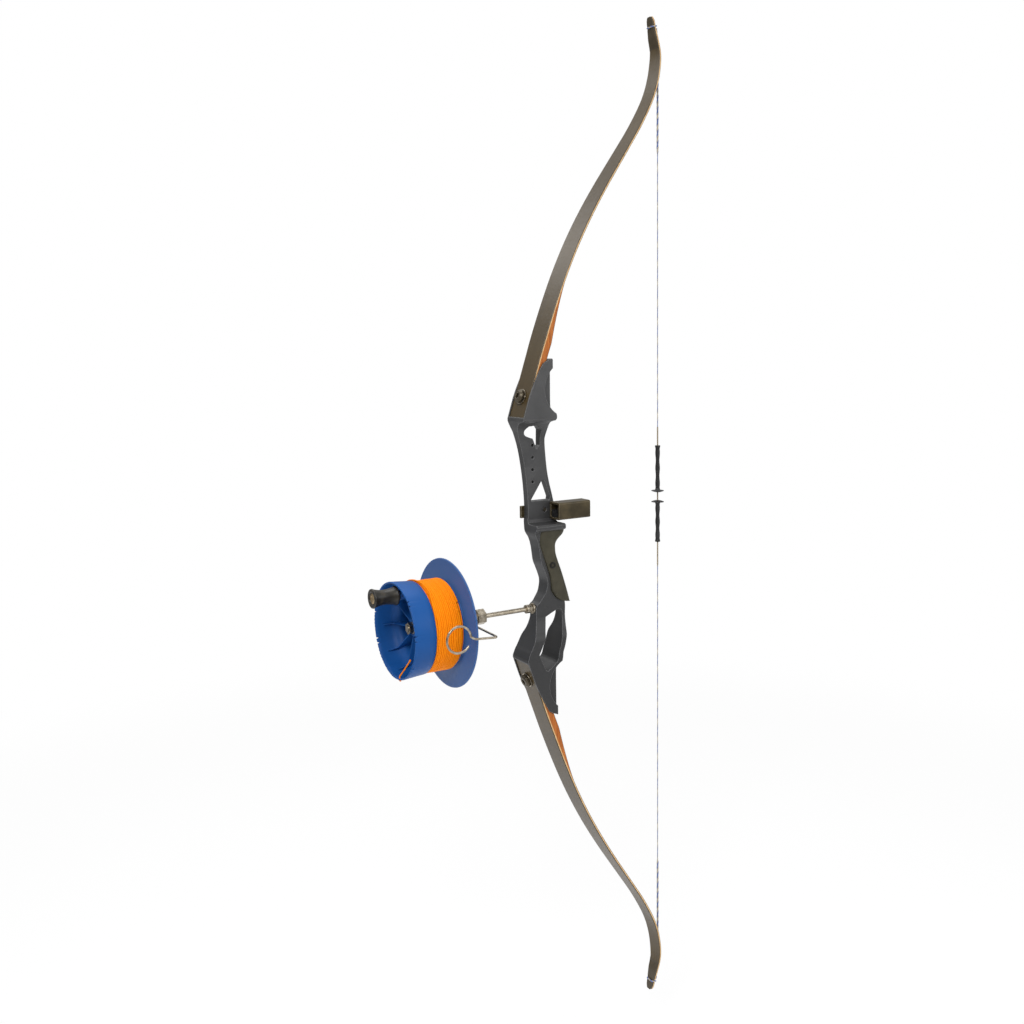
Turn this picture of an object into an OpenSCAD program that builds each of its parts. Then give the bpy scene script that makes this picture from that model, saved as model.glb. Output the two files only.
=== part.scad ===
// Recurve bow for fishing practice: machined riser, two bolt-on laminated limbs,
// a twisted bowstring with finger savers, a box-shaped arrow rest and a front-mounted line drum.
// The archer stands at +X, the arrow flies toward -X, +Z is up. The origin is the grip throat.

/* [Bow] */
// Distance from the grip throat to the string
brace_height = 178; // [168:1:186]
// Height of the limbs' mirror plane above the grip throat
mid_z = 12; // [6:1:18]
// Distance from the mirror plane to each limb butt
butt_t = 160.5; // [158:0.5:164]
// Distance from the mirror plane to each string nock
nock_t = 674.5; // [640:0.5:700]
// Extra lean of the upper limb over the lower, as half the difference in degrees
tiller = 1; // [0:0.1:1.5]
// Distance of the upper limb's back face in front of the throat, at its butt
butt_x_u = 53.3; // [50:0.1:57]
// Distance of the lower limb's back face in front of the throat, at its butt
butt_x_l = 50.2; // [47:0.1:54]

/* [Limbs] */
// Width at the butt
limb_butt_w = 35.8; // [33.6:0.2:36.4]
// Width near the tip
limb_tip_w = 11.6; // [10:0.2:16]
// Thickness of each glass lamination
glass_t = 0.7; // [0.6:0.1:1.2]
// Thickness of the wood core
core_t = 1.8; // [1.6:0.1:3]
// Thickness of the wedge under the belly glass at the butt
wedge_t = 8; // [7:0.1:9]
// Length of the wedge at full thickness
wedge_flat = 98; // [90:1:104]
// Length over which the wedge fades out
wedge_fade = 77; // [66:1:100]
// Length of the tip past the nock
tip_past = 13; // [11:0.5:16]
// Thickness of the tip overlay
overlay_t = 1.8; // [1.4:0.1:2.6]
// Length of the tip overlay
overlay_len = 42; // [34:1:50]

/* [Riser] */
// Full width of the limb pockets
pocket_w = 39.6; // [39:0.2:42]
// Gap between a limb edge and the cheek beside it
cheek_gap = 0.35; // [0.2:0.05:0.6]
// Length of the pocket along the mirror axis
pocket_len = 74.5; // [72:0.5:78]
// Width of the web behind the pocket scallops
web_w = 24; // [18:1:30]
// Near face of the sight window plate
window_y0 = 9; // [8:0.5:11]
// Thickness of the sight window plate
window_t = 10; // [8:0.5:12]
// Height of the arrow shelf above the throat
shelf_z = 31; // [29:0.5:33]
// Thickness of the arrow shelf
shelf_t = 7.5; // [6:0.5:9]
// Overhang of the shelf from the centre plane
shelf_out = 15.5; // [14:0.5:18]
// Half width of the riser's spine inside the grip
spine_hw = 9; // [8:0.2:9.6]
// Half width of the riser's front strip beside the grip
strip_hw = 10.6; // [10.4:0.1:12]
// Half width at the stabiliser boss
boss_hw = 8.4; // [8:0.1:9.2]
// Radius of the pocket scallops
scallop_r = 36; // [34:0.5:38]

/* [Holes] */
// Spacing of the sight holes
sight_pitch = 16; // [14:0.5:17]
// Number of sight holes
sight_n = 4; // [2:1:4]
// Diameter of the sight holes
sight_d = 4.2; // [3:0.1:4.8]
// Height of the top sight hole
sight_z = 134.2; // [132:0.2:136]

/* [Limb bolts] */
// Distance of the bolt from the limb butt
bolt_in = 26; // [22:0.5:30]
// Diameter of the bolt shank
bolt_d = 8; // [6:0.1:9]
// Diameter of the bolt head
bolt_head_d = 17; // [15:0.5:18]
// Height of the bolt head
bolt_head_h = 5.5; // [5:0.5:8]
// Diameter of the washer
washer_d = 19.5; // [18.5:0.5:22]
// Thickness of the washer
washer_t = 1.6; // [1:0.1:2.4]
// Length of the shank inside the riser
bolt_grip = 15; // [12:0.5:17]
// Diameter of the locating pin
pin_d = 6; // [4:0.1:7]

/* [Grip] */
// Full width of the grip at the palm
grip_w = 29; // [27:0.5:33]
// Depth of the grip behind the spine
grip_back = 8; // [6:0.5:9]
// Diameter of the grip screw heads
grip_screw_d = 8.6; // [7.5:0.1:9.5]
// Height of the grip screws below the throat
grip_screw_z = 22.7; // [20:0.5:26]

/* [String] */
// Diameter of the bowstring
string_d = 1.6; // [1.4:0.1:2]
// Gap between the string and the limb where the string lifts off
lift_gap = 0.8; // [0.4:0.1:1.2]
// Diameter of the twisted ends
twist_d = 2.8; // [2.6:0.1:3.2]
// Length of the twisted ends below the nocks
twist_len = 97; // [80:1:120]
// Height of the nocking point above the throat
nocking_z = 51.3; // [49:0.1:54]
// Length of the bare serving where the arrow sits
serving_len = 11.4; // [11:0.1:14]
// Diameter of the serving
serving_d = 2.4; // [2.2:0.1:3]
// Length of the upper finger saver
saver_up_len = 65.9; // [55:0.1:75]
// Length of the lower finger saver
saver_low_len = 59.1; // [50:0.1:70]
// Diameter of the finger savers' body
saver_d = 6; // [5.6:0.1:7.4]
// Diameter of the finger savers' flange
saver_flange_d = 17.6; // [15:0.2:18.4]

/* [Arrow rest] */
// Length of the rest housing along the arrow
rest_len = 50; // [44:1:56]
// Height of the rest housing
rest_h = 23; // [21:0.5:24]
// Near face of the rest housing
rest_y0 = -13.5; // [-15:0.5:-12]
// Wall of the rest housing
rest_wall = 2.6; // [2:0.1:3.2]
// Front end of the rest housing
rest_x0 = 2; // [0:0.5:4]
// Thickness of the rest bracket
bracket_t = 4; // [3:0.1:5]
// Height of the rest bracket bar
bracket_h = 16; // [13:0.5:18]
// Diameter of the rest bolt
rest_bolt_d = 6; // [5:0.1:7]

/* [Line drum] */
// Height of the drum axis below the throat
reel_drop = 79.8; // [78.5:0.1:81]
// Rear face of the flange ahead of the throat
flange_x = 159.5; // [154:0.5:165]
// Diameter of the flange
flange_d = 161.8; // [150:0.5:165]
// Thickness of the flange
flange_t = 2.5; // [2:0.1:3.5]
// Diameter of the cup's front rim
rim_d = 120; // [118:0.5:124]
// Depth of the cup from the flange's rear face to the rim
cup_depth = 73; // [70:0.5:76]
// Wall of the cup
cup_wall = 3; // [2.4:0.1:3.6]
// Diameter of the drum under the line
core_d = 100; // [96:0.5:102]
// Start of the line groove in front of the flange's rear face
groove_z0 = 6.6; // [5:0.1:8]
// Width of the line groove
groove_w = 37.2; // [36:0.1:38]
// Number of radial ribs in the cup
rib_n = 8; // [6:2:10]
// Thickness of the ribs
rib_t = 2; // [1.5:0.1:3]
// Diameter of the hub
hub_d = 22; // [20:0.5:26]
// Diameter of the spindle through the hub
spindle_d = 8; // [7:0.1:8.6]
// Running clearance on the spindles
run_gap = 0.08; // [0.05:0.01:0.1]
// Diameter of the threaded rod
rod_d = 6; // [5:0.1:6.6]
// Width of the coupler nut across its flats
coupler_af = 17.5; // [16:0.5:20]
// Length of the coupler nut
coupler_len = 11; // [10:0.5:14]
// Distance of the crank knob from the drum axis
knob_r = 43.5; // [41:0.1:44]
// Diameter of the crank knob
knob_d = 24; // [20:0.5:25]
// Length of the crank knob
knob_len = 33; // [28:0.5:36]

/* [Line] */
// Diameter of the line
line_d = 1.9; // [1.5:0.1:1.9]
// Number of turns in the outer layer
line_n = 14; // [8:1:14]
// Thickness of the wound bulk under the outer layer
bulk_t = 4.7; // [3:0.1:5]

/* [Wire guide] */
// Diameter of the guide wire
wire_d = 2.8; // [2:0.1:3.2]
// Reach of the guide wire from the drum axis
wire_reach = 90; // [86:0.5:95]
// Radius of the guide loop
wire_loop_r = 15.8; // [13:0.1:18]

/* [Hidden] */
$fn = 48;
e = 0.01;
string_x = brace_height;
tip_t = nock_t + tip_past;
limb_len = nock_t - butt_t;
lift_t = butt_t + 0.933 * limb_len;
fade_t = butt_t + wedge_flat + wedge_fade;
blade_t = 2 * glass_t + core_t;
string_r = string_d / 2;

function sum(v) = v * [for (i = v) 1];
function unit(v) = v / norm(v);
function clamp01(x) = min(1, max(0, x));
function ease(x) = clamp01(x) * clamp01(x) * (3 - 2 * clamp01(x));
// Smooth curve through a few points, n steps to a span
function curve_pt(a, b, c, d, u) =
  0.5 * (2 * b + (c - a) * u + (2 * a - 5 * b + 4 * c - d) * u * u + (3 * b - a - 3 * c + d) * u * u * u);
function curve(p, n = 4) = [for (i = [0:len(p) - 2]) for (k = [0:n - 1])
  curve_pt(p[max(0, i - 1)], p[i], p[i + 1], p[min(len(p) - 1, i + 2)], k / n), p[len(p) - 1]];

// Lean of the limb from the vertical along its length: straight butt, bend, recurve
LEAN = [[0, 18.2], [0.125, 19.2], [0.22, 20.7], [0.32, 23], [0.42, 27.3], [0.515, 31.6], [0.61, 34.8],
  [0.71, 34.6], [0.8, 27.5], [0.865, 13.4], [0.915, 4], [0.955, -11.3], [1.03, -12.8]];
// What the lower limb leans more than that near its tip
TRIM = [[0.6, 0], [0.7, 0.5], [0.88, 0.5], [0.93, 0]];
function frac(t) = (t - butt_t) / limb_len;
function free_lean(s, t) = lookup(frac(t), LEAN) + (s < 0 ? lookup(frac(t), TRIM) : 0)
  - s * tiller * (cos(193 * frac(t)) - 0.12);
function bend(t) = ease((frac(t) - 0.1) / 0.5);
// Degrees the limb bends besides, so that it runs from its pocket to the string at any size
function turn(s, butt_x) = let (n = 24, d = (lift_t - butt_t) / n, m = [for (i = [0:n - 1]) butt_t + (i + 0.5) * d])
  (string_x - twist_d / 2 - lift_gap - blade_t + butt_x - sum([for (t = m) tan(free_lean(s, t)) * d]))
  / sum([for (t = m) bend(t) * (1 + pow(tan(free_lean(s, t)), 2)) * d * PI / 180]);
turn_u = turn(1, butt_x_u);
turn_l = turn(-1, butt_x_l);
function lean(s, t) = free_lean(s, t) + (s > 0 ? turn_u : turn_l) * bend(t);
// X of the limb's back face, worked out from where the string lifts off the belly
function back_x(s, t) = string_x - twist_d / 2 - lift_gap - blade_t
  - sum([for (i = [0:23]) tan(lean(s, t + (i + 0.5) * (lift_t - t) / 24)) * (lift_t - t) / 24]);
function wedge(t) = wedge_t * pow(1 - clamp01((t - butt_t - wedge_flat) / wedge_fade), 1.3);
function layer(k, t) = k == 0 ? 0 : k == 1 ? glass_t : k == 2 ? glass_t + core_t
  : k == 3 ? glass_t + core_t + wedge(t) : 2 * glass_t + core_t + wedge(t);
function limb_pt(s, t, o) = [back_x(s, t) + o * cos(lean(s, t)), t - o * sin(lean(s, t))];
function stations(t0, t1, step = 13) = let (n = ceil((t1 - t0) / step))
  [for (i = [0:n]) t0 + (t1 - t0) * i / n];
function half_w(t) = let (v = frac(t))
  limb_butt_w / 2 + 0.6 * ease((t - pocket_top) / 28) - (limb_butt_w - limb_tip_w) / 2 * (0.15 * v
  + 0.54 * ease((v - 0.45) / 0.6) + 0.42 * ease((v - 0.9) / 0.14));
function nose_w(t) = half_w(t) * sqrt(1 - 0.75 * pow(clamp01((t - tip_t + 7) / 7), 2));

// Stands a shape drawn above the mirror plane on the upper (1) or lower (-1) side
module limb_side(s) translate([0, 0, mid_z]) mirror([0, 0, s > 0 ? 0 : 1]) children();
module extrude_y(y0, y1) translate([0, y1, 0]) rotate([90, 0, 0]) linear_extrude(height = y1 - y0) children();
module extrude_x(x0, x1) translate([x0, 0, 0]) rotate([90, 0, 90]) linear_extrude(height = x1 - x0) children();
module along_x(x0, x1, r, y = 0, z = 0, fn = 48)
  translate([x0, y, z]) rotate([0, 90, 0]) cylinder(h = x1 - x0, r = r, $fn = fn);
module along_y(y0, y1, r, x, z, fn = 32)
  translate([x, y1, z]) rotate([90, 0, 0]) cylinder(h = y1 - y0, r = r, $fn = fn);
// A round bar between two points
module bar(a, b, r, fn = 24) let (d = b - a, l = norm(d))
  translate(a) rotate([0, acos(d[2] / l), atan2(d[1], d[0])]) cylinder(h = l, r = r, $fn = fn);
// A corner between a, b and c, rounded with a quadratic curve that starts r from it
function corner(a, b, c, r) = let (p = b + r * unit(a - b), q = b + r * unit(c - b))
  [for (i = [0:4]) let (u = i / 4) (1 - u) * (1 - u) * p + 2 * u * (1 - u) * b + u * u * q];
// A tube swept along points; ref is a direction that the path never follows
module tube(p, r, sides, ref) {
  n = len(p);
  dir = [for (i = [0:n - 1]) unit(p[min(n - 1, i + 1)] - p[max(0, i - 1)])];
  ring = [for (i = [0:n - 1]) let (u = unit(cross(ref, dir[i])), v = cross(dir[i], u))
    for (k = [0:sides - 1]) p[i] + r * (cos(360 * k / sides) * u + sin(360 * k / sides) * v)];
  side = [for (i = [0:n - 2]) for (k = [0:sides - 1])
    let (a = i * sides + k, b = i * sides + (k + 1) % sides)
    each [[a, b, b + sides], [a, b + sides, a + sides]]];
  cap0 = [for (k = [1:sides - 2]) [0, k + 1, k]];
  m = (n - 1) * sides;
  cap1 = [for (k = [1:sides - 2]) [m, m + k, m + k + 1]];
  polyhedron(points = ring, faces = concat(side, cap0, cap1), convexity = 10);
}

// Limb laminations

module limb_outline(t0, t1) {
  st = stations(t0, t1, 10);
  extrude_x(-200, 300) polygon(concat([for (t = st) [nose_w(t), t]],
    [for (i = [len(st) - 1:-1:0]) [-nose_w(st[i]), st[i]]]));
}
module nock_notches(s) for (y = [-1, 1]) let (p = limb_pt(s, nock_t, 0), a = lean(s, nock_t))
  translate([p[0], y * (half_w(nock_t) - 0.4), p[1]]) rotate([0, 90 + a, 0])
    translate([0, 0, -8]) cylinder(h = 20, r = twist_d / 2, $fn = 24);
module layer_side(s, t0, t1, k) let (st = stations(t0, t1)) extrude_y(-limb_butt_w, limb_butt_w)
  polygon(concat([for (t = st) limb_pt(s, t, layer(k, t))],
    [for (i = [len(st) - 1:-1:0]) limb_pt(s, st[i], layer(k + 1, st[i]))]));
module lamination(s, t0, t1, k) limb_side(s) {
  difference() {
    intersection() {
      layer_side(s, t0, t1, k);
      limb_outline(t0 - 30, k == 2 ? t1 - 1 : min(t1 + 30, tip_t));
    }
    if (t1 > nock_t) nock_notches(s);
    if (t0 < butt_t + 1) {
      bolt_axis(s) cylinder(h = 60, r = bolt_d / 2 + 0.15, center = true, $fn = 32);
      if (k > 1) pin_axis(s) cylinder(h = 60, r = pin_d / 2 + 0.1, center = true, $fn = 32);
    }
  }
}
module tip_overlay(s) limb_side(s) {
  t0 = tip_t - overlay_len;
  st = stations(t0, tip_t, 6);
  difference() {
    intersection() {
      extrude_y(-limb_butt_w, limb_butt_w) polygon(concat(
        [for (t = st) limb_pt(s, t, -overlay_t * ease((t - t0) / (0.4 * overlay_len)) - 0.1)],
        [for (i = [len(st) - 1:-1:0]) limb_pt(s, st[i], glass_t / 2)]));
      limb_outline(t0 - 30, tip_t);
    }
    layer_side(s, fade_t, tip_t, 0);
    nock_notches(s);
  }
}
// Frames on the limb bolt and the locating pin: +Z runs from the belly out through the back
module bolt_axis(s) limb_frame(s, butt_t + bolt_in) translate([0, 0, 0.12]) children();
module pin_axis(s) limb_frame(s, butt_t + bolt_in + 30) children();
module limb_frame(s, t) let (p = limb_pt(s, t, 0), a = lean(s, t))
  translate([p[0], 0, p[1]]) rotate([0, -90 + a, 0]) children();

module upper_butt_back() color([0.30, 0.26, 0.19]) lamination(1, butt_t, fade_t, 0);
module upper_butt_core() color([0.93, 0.78, 0.58]) lamination(1, butt_t, fade_t, 1);
module upper_butt_wedge() color([0.72, 0.40, 0.18]) lamination(1, butt_t, fade_t, 2);
module upper_butt_belly() color([0.16, 0.15, 0.13]) lamination(1, butt_t, fade_t, 3);
module upper_blade_back() color([0.42, 0.39, 0.32]) lamination(1, fade_t, tip_t, 0);
module upper_blade_core() color([0.93, 0.78, 0.58]) lamination(1, fade_t, tip_t, 1);
module upper_blade_belly() color([0.16, 0.15, 0.13]) lamination(1, fade_t, tip_t, 3);
module upper_tip_overlay() color([0.26, 0.24, 0.20]) tip_overlay(1);
module lower_butt_back() color([0.42, 0.38, 0.30]) lamination(-1, butt_t, fade_t, 0);
module lower_butt_core() color([0.93, 0.78, 0.58]) lamination(-1, butt_t, fade_t, 1);
module lower_butt_wedge() color([0.72, 0.40, 0.18]) lamination(-1, butt_t, fade_t, 2);
module lower_butt_belly() color([0.16, 0.15, 0.13]) lamination(-1, butt_t, fade_t, 3);
module lower_blade_back() color([0.52, 0.50, 0.43]) lamination(-1, fade_t, tip_t, 0);
module lower_blade_core() color([0.93, 0.78, 0.58]) lamination(-1, fade_t, tip_t, 1);
module lower_blade_belly() color([0.16, 0.15, 0.13]) lamination(-1, fade_t, tip_t, 3);
module lower_tip_overlay() color([0.26, 0.24, 0.20]) tip_overlay(-1);

// Limb bolts, washers and locating pins

head_w = bolt_head_d / 2;
bolt_through = blade_t + wedge_t;
module limb_washer(s) color([0.62, 0.60, 0.56]) limb_side(s) bolt_axis(s) difference() {
  cylinder(h = washer_t, r = washer_d / 2);
  translate([0, 0, -1]) cylinder(h = washer_t + 2, r = bolt_d / 2 + 0.15);
}
module limb_bolt(s) color([0.14, 0.14, 0.13]) limb_side(s) bolt_axis(s) translate([0, 0, washer_t])
  difference() {
    union() {
      rotate_extrude() polygon([[0, 0], [head_w - 1, 0], [head_w, 1], [head_w, bolt_head_h - 2],
        [head_w - 2, bolt_head_h], [0, bolt_head_h]]);
      translate([0, 0, -washer_t - bolt_through - bolt_grip])
        cylinder(h = washer_t + bolt_through + bolt_grip + e, r = bolt_d / 2, $fn = 32);
    }
    translate([0, 0, bolt_head_h - 4.5]) cylinder(h = 6, r = bolt_d * 0.5, $fn = 6);
  }
module locating_pin(s) color([0.62, 0.60, 0.56]) limb_side(s) pin_axis(s)
  translate([0, 0, -bolt_through - 7]) cylinder(h = 7 + wedge_t, r = pin_d / 2, $fn = 32);

module upper_limb_bolt() limb_bolt(1);
module upper_limb_washer() limb_washer(1);
module upper_locating_pin() locating_pin(1);
module lower_limb_bolt() limb_bolt(-1);
module lower_limb_washer() limb_washer(-1);
module lower_locating_pin() locating_pin(-1);

// Riser

pocket_hw = pocket_w / 2;
pocket_top = butt_t + pocket_len;
ub = limb_pt(1, butt_t, 0);
lb = limb_pt(-1, butt_t, 0);
shelf_lo = shelf_z - shelf_t;
// Rear edge of a pocket from its foot to the top of its fin, measured from the limb butt
UPPER_FOOT = [[47.6, -5.5], [49.2, -2], [49, 2], [47.4, 6.3]];
LOWER_FOOT = [[52.8, -5], [52, -1], [50.9, 3.2], [48.5, 6.3]];
function pocket_rear(b, foot, back) = concat(
  curve(concat([for (q = foot) [b[0] + q[0], butt_t + q[1]]],
    [[b[0] + back + 1.6, butt_t + 10.4], [b[0] + back, butt_t + 15.5], [b[0] + back, butt_t + 51.5],
    [b[0] + back, pocket_top - 2.5]]), 3), [[b[0] + back - 1.5, pocket_top]]);
// Front edge of the cheeks, in front of most of the limb's edge
function cheek_front(s) = [limb_pt(s, pocket_top, blade_t + 6.5), limb_pt(s, pocket_top - 5, blade_t + 2.2),
  limb_pt(s, pocket_top - 20, blade_t - 0.6), limb_pt(s, butt_t + 35, -0.1), limb_pt(s, butt_t + 24, -0.9),
  limb_pt(s, butt_t - 2, -1)];
// Outline of the riser seen from the side, X against Z
function pz(s, p) = [for (q = p) [q[0], mid_z + s * q[1]]];
function rev(p) = [for (i = [len(p) - 1:-1:0]) p[i]];
ledge_u = mid_z + butt_t - 5;
ledge_l = mid_z - butt_t + 5;
shelf_x1 = 11.2;
front_edge = curve([[ub[0] - 1.5, ledge_u], [ub[0] + 1.9, ledge_u - 8], [ub[0] + 6.4, ledge_u - 17.5],
  [ub[0] + 12.6, ledge_u - 38], [-36.4, 106], [-33.6, 84], [-31.8, 60], [-31.6, 42], [-33.2, 32],
  [-34.2, 23], [-33, 18], [-30.3, 11.6], [-27.8, 2], [-26.4, -7.5], [-24.7, -18], [-21.5, -26], [-17.8, -35],
  [-15.3, -43], [-15.3, -50], [-18, -59.5], [-23, -67], [-26.8, -72], [-30.4, -74.5]], 4);
front_low = curve([[-31.8, -79], [-31.6, -92], [-34.9, -106.3], [-39.2, -117.4],
  [lb[0] + 5.1, ledge_l + 13.8], [lb[0] + 1.6, ledge_l + 7.8], [lb[0] - 1.5, ledge_l]], 4);
window_rear = curve([[ub[0] + 47.6, ledge_u - 0.5], [-3.2, 154], [-4.8, 142], [-4.4, 128], [-1.8, 101.5],
  [1.9, 82.5], [6.3, 66], [9.6, 50], [shelf_x1, shelf_z + 2]], 4);
spine_rear = curve([[shelf_x1, shelf_lo + 0.5], [5, 19], [-4, 12], [-grip_back, 2], [2.5 - grip_back, -10],
  [9 - grip_back, -30], [16 - grip_back, -52], [18 - grip_back, -66]], 3);
rear_low = curve([[13.2, -76], [13.8, -87], [12.4, -105], [9.8, -118], [6.5, -131], [lb[0] + 53.4, ledge_l + 4]], 4);
side_outline = concat(
  front_edge, front_low,
  pz(-1, rev(cheek_front(-1))), rev(pz(-1, pocket_rear(lb, LOWER_FOOT, 46))), rev(rear_low), rev(spine_rear),
  rev(window_rear), pz(1, pocket_rear(ub, UPPER_FOOT, 44)), pz(1, cheek_front(1)));
// Outline of the riser seen from the front, Y against Z
near_edge = concat([[-pocket_hw, 400], [-pocket_hw, ledge_u + 2]],
  curve([[-pocket_hw + 1.5, ledge_u], [-11, ledge_u - 1.5], [-5, ledge_u - 3.5], [1.5, ledge_u - 9],
    [6.5, ledge_u - 16], [window_y0, ledge_u - 25]], 4),
  [[window_y0, shelf_z + 5], [window_y0 - 1.5, shelf_z + 1.5], [window_y0 - 5, shelf_z],
    [2 - shelf_out, shelf_z], [-shelf_out, shelf_z - 2], [-shelf_out, shelf_lo + 2],
    [1.5 - shelf_out, shelf_lo], [-strip_hw, shelf_lo - 1.5]],
  curve([[-strip_hw, 10], [-strip_hw, -45], [-boss_hw - 0.8, -66], [-boss_hw, -80], [0.6 - boss_hw, -92],
    [-11.6, -106], [-17.2, -117], [-18.4, -126], [-19, -138], [-pocket_hw, -147]], 3), [[-pocket_hw, -400]]);
far_edge = concat([[pocket_hw, -400]],
  curve([[pocket_hw, -147], [19, -138], [18.4, -126], [17.2, -117], [11.6, -106], [boss_hw - 0.6, -92],
    [boss_hw, -80], [boss_hw + 0.8, -66], [strip_hw, -45], [strip_hw, 8], [14, 20], [window_y0 + window_t, 36]], 3),
  [[window_y0 + window_t, ledge_u - 12], [pocket_hw, ledge_u - 3], [pocket_hw, 400]]);
// The grip's outline: the seam on the riser's side, then round the heel and the back
grip_seam = curve([[-24.9, shelf_lo], [-27, 8], [-23.5, -5], [-18, -20], [-12.4, -36.3], [-10.5, -47.1],
  [-9, -57.7], [-2.8, -66.7], [3.7, -71.1], [14, -74.5], [30, -76]], 4);
grip_outline = concat(grip_seam, [[40, -76], [40, shelf_lo]]);

module riser() color([0.30, 0.30, 0.30]) difference() {
  intersection() {
    extrude_y(-pocket_hw, pocket_hw) polygon(side_outline);
    extrude_x(-120, 80) polygon(concat(near_edge, far_edge));
  }
  for (s = [-1, 1]) {
    limb_channel(s);
    scallops(s);
    limb_side(s) bolt_axis(s) translate([0, 0, -bolt_through - bolt_grip - 1])
      cylinder(h = 40, r = bolt_d / 2 + 0.02, $fn = 48);
    limb_side(s) pin_axis(s) translate([0, 0, -bolt_through - 7])
      cylinder(h = 30, r = pin_d / 2 + 0.02, $fn = 48);
  }
  for (y = [-1, 1]) extrude_y(y > 0 ? spine_hw : -60, y > 0 ? 60 : -spine_hw) polygon(grip_outline);
  upper_opening();
  triangle_opening();
  lower_opening();
  for (i = [0:sight_n - 1])
    along_y(window_y0 - 5, window_y0 + window_t + 5, sight_d / 2, sight_x, sight_z - i * sight_pitch);
  along_y(window_y0 - 5, window_y0 + window_t + 5, rest_bolt_d / 2 + 0.05, rest_bolt_x, rest_bolt_z);
  along_y(-30, 30, 2.05, grip_screw_x, -grip_screw_z);
  along_x(-60, bushing_x1, bushing_d / 2 + 0.02, 0, -reel_drop);
}
sight_x = -24;
rest_bolt_x = -5.6;
rest_z = 46.8;
rest_bolt_z = rest_z + 1;
bar_z = rest_z - 1.2;
grip_screw_x = -9.2;
bushing_x1 = -20;
bushing_d = 11;
// Room for the limb between the cheeks, open to the front
module limb_channel(s) limb_side(s) {
  st = [for (t = stations(butt_t, fade_t)) if (t < pocket_top + 26) t];
  hw = limb_butt_w / 2 + cheek_gap;
  extrude_y(-hw, hw) polygon(concat([for (t = st) limb_pt(s, t, layer(4, t))],
    [limb_pt(s, st[len(st) - 1], -40), limb_pt(s, butt_t, -40)]));
}
// A scoop into each side of a pocket's rear, which leaves a web in the middle
module scallops(s) limb_side(s) let (b = s > 0 ? ub : lb)
  for (y = [web_w / 2, -pocket_hw - 5]) extrude_y(y, y + pocket_hw + 5 - web_w / 2)
    translate([b[0] + 67, butt_t + 34.8]) union() {
      circle(r = scallop_r, $fn = 96);
      translate([12.5 - scallop_r, 26]) square([60, pocket_len]);
    }
module upper_opening() extrude_y(-40, 60) polygon(concat(
  curve([[ub[0] + 19.4, ledge_u - 7.6], [ub[0] + 15, ledge_u - 13], [ub[0] + 16.8, ledge_u - 19.4],
    [-29, 144.7], [-23.5, 143]], 3),
  [[-22, 140], [-18, 129.5], [-16.5, 129.5], [-12.5, 134], [-12, ledge_u - 13], [-14.5, ledge_u - 9]],
  curve([[-20, ledge_u - 7.5], [-27, ledge_u - 7], [-31, ledge_u - 7.6]], 3)));
module triangle_opening() extrude_y(-40, 60)
  polygon([[-10.6, 86.3], [-5, 86.3], [3, 64.4], [2.2, 60.5], [-26.6, 60.5], [-27.2, 62]]);
module lower_opening() extrude_y(-60, 60) polygon(concat(
  curve([[-17, -92], [-18.8, -102], [-21.7, -111.5], [-25, -120.5], [lb[0] + 15.8, ledge_l + 5.6]], 3),
  [[lb[0] + 24, ledge_l - 14.4], [lb[0] + 25.4, ledge_l - 17], [lb[0] + 28.6, ledge_l - 18]],
  curve([[lb[0] + 38.2, ledge_l - 11.4], [lb[0] + 44, ledge_l - 6.4], [lb[0] + 46.6, ledge_l + 3], [-0.2, -130.4],
    [3.6, -115.5], [7.4, -104], [9, -92], [8.6, -86]], 3),
  [[6.5, -84.2], [0, -84.4]]));

// Grip

module grip_loft() {
  zs = [23.5, 19.5, 15.5, 12, 8, 4, 0, -8, -20, -32, -44, -56, -66, -76];
  back = [17, 16.6, 14, 8.8, 3.4, 0.6, 0, 0.8, 5.6, 10.8, 15.3, 19.4, 22.6, 25.5];
  wide = [12.2, 12.3, 12.4, 12.7, 13, 13.3, 13.6, 14, 14.2, 14.1, 13.8, 13.4, 13.1, 12.8];
  n = 22;
  pts = [for (i = [0:len(zs) - 1]) for (k = [0:n]) let (a = 180 * k / n - 90, w = wide[i] * grip_w / 29)
    [-8 + (back[i] + 8) * cos(a), w * (abs(a) > 89.9 ? sign(a) : sin(a)), zs[i]]];
  m = n + 1;
  front = [for (i = [0:len(zs) - 1]) for (y = [1, -1]) [-34, y * strip_hw, zs[i]]];
  f0 = len(pts);
  all = concat(pts, front);
  function id(i, k) = k <= n ? i * m + k : f0 + 2 * i + (k - n - 1);
  q = n + 2;
  faces = concat(
    [for (i = [0:len(zs) - 2]) for (k = [0:q]) let (k2 = (k + 1) % (q + 1))
      each [[id(i, k), id(i, k2), id(i + 1, k2)], [id(i, k), id(i + 1, k2), id(i + 1, k)]]],
    [[for (k = [q:-1:0]) id(0, k)]],
    [[for (k = [0:q]) id(len(zs) - 1, k)]]);
  polyhedron(points = all, faces = faces, convexity = 6);
}
module grip() color([0.25, 0.24, 0.19]) difference() {
  intersection() {
    grip_loft();
    extrude_y(-40, 40) polygon(grip_outline);
  }
  extrude_y(-spine_hw, spine_hw) polygon(concat([[-60, shelf_lo + 5]], [[shelf_x1, shelf_lo + 5]], spine_rear,
    [rear_low[0], [rear_low[0][0], -90], [-60, -90]]));
  for (y = [-1, 1]) {
    along_y(y > 0 ? grip_hw - 2.2 : -40, y > 0 ? 40 : 2.2 - grip_hw, grip_screw_d / 2 + 0.05,
      grip_screw_x, -grip_screw_z);
    along_y(y > 0 ? 0 : -40, y > 0 ? 40 : 0, 2.05, grip_screw_x, -grip_screw_z);
  }
}
grip_hw = grip_w / 2 - 0.4;
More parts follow.
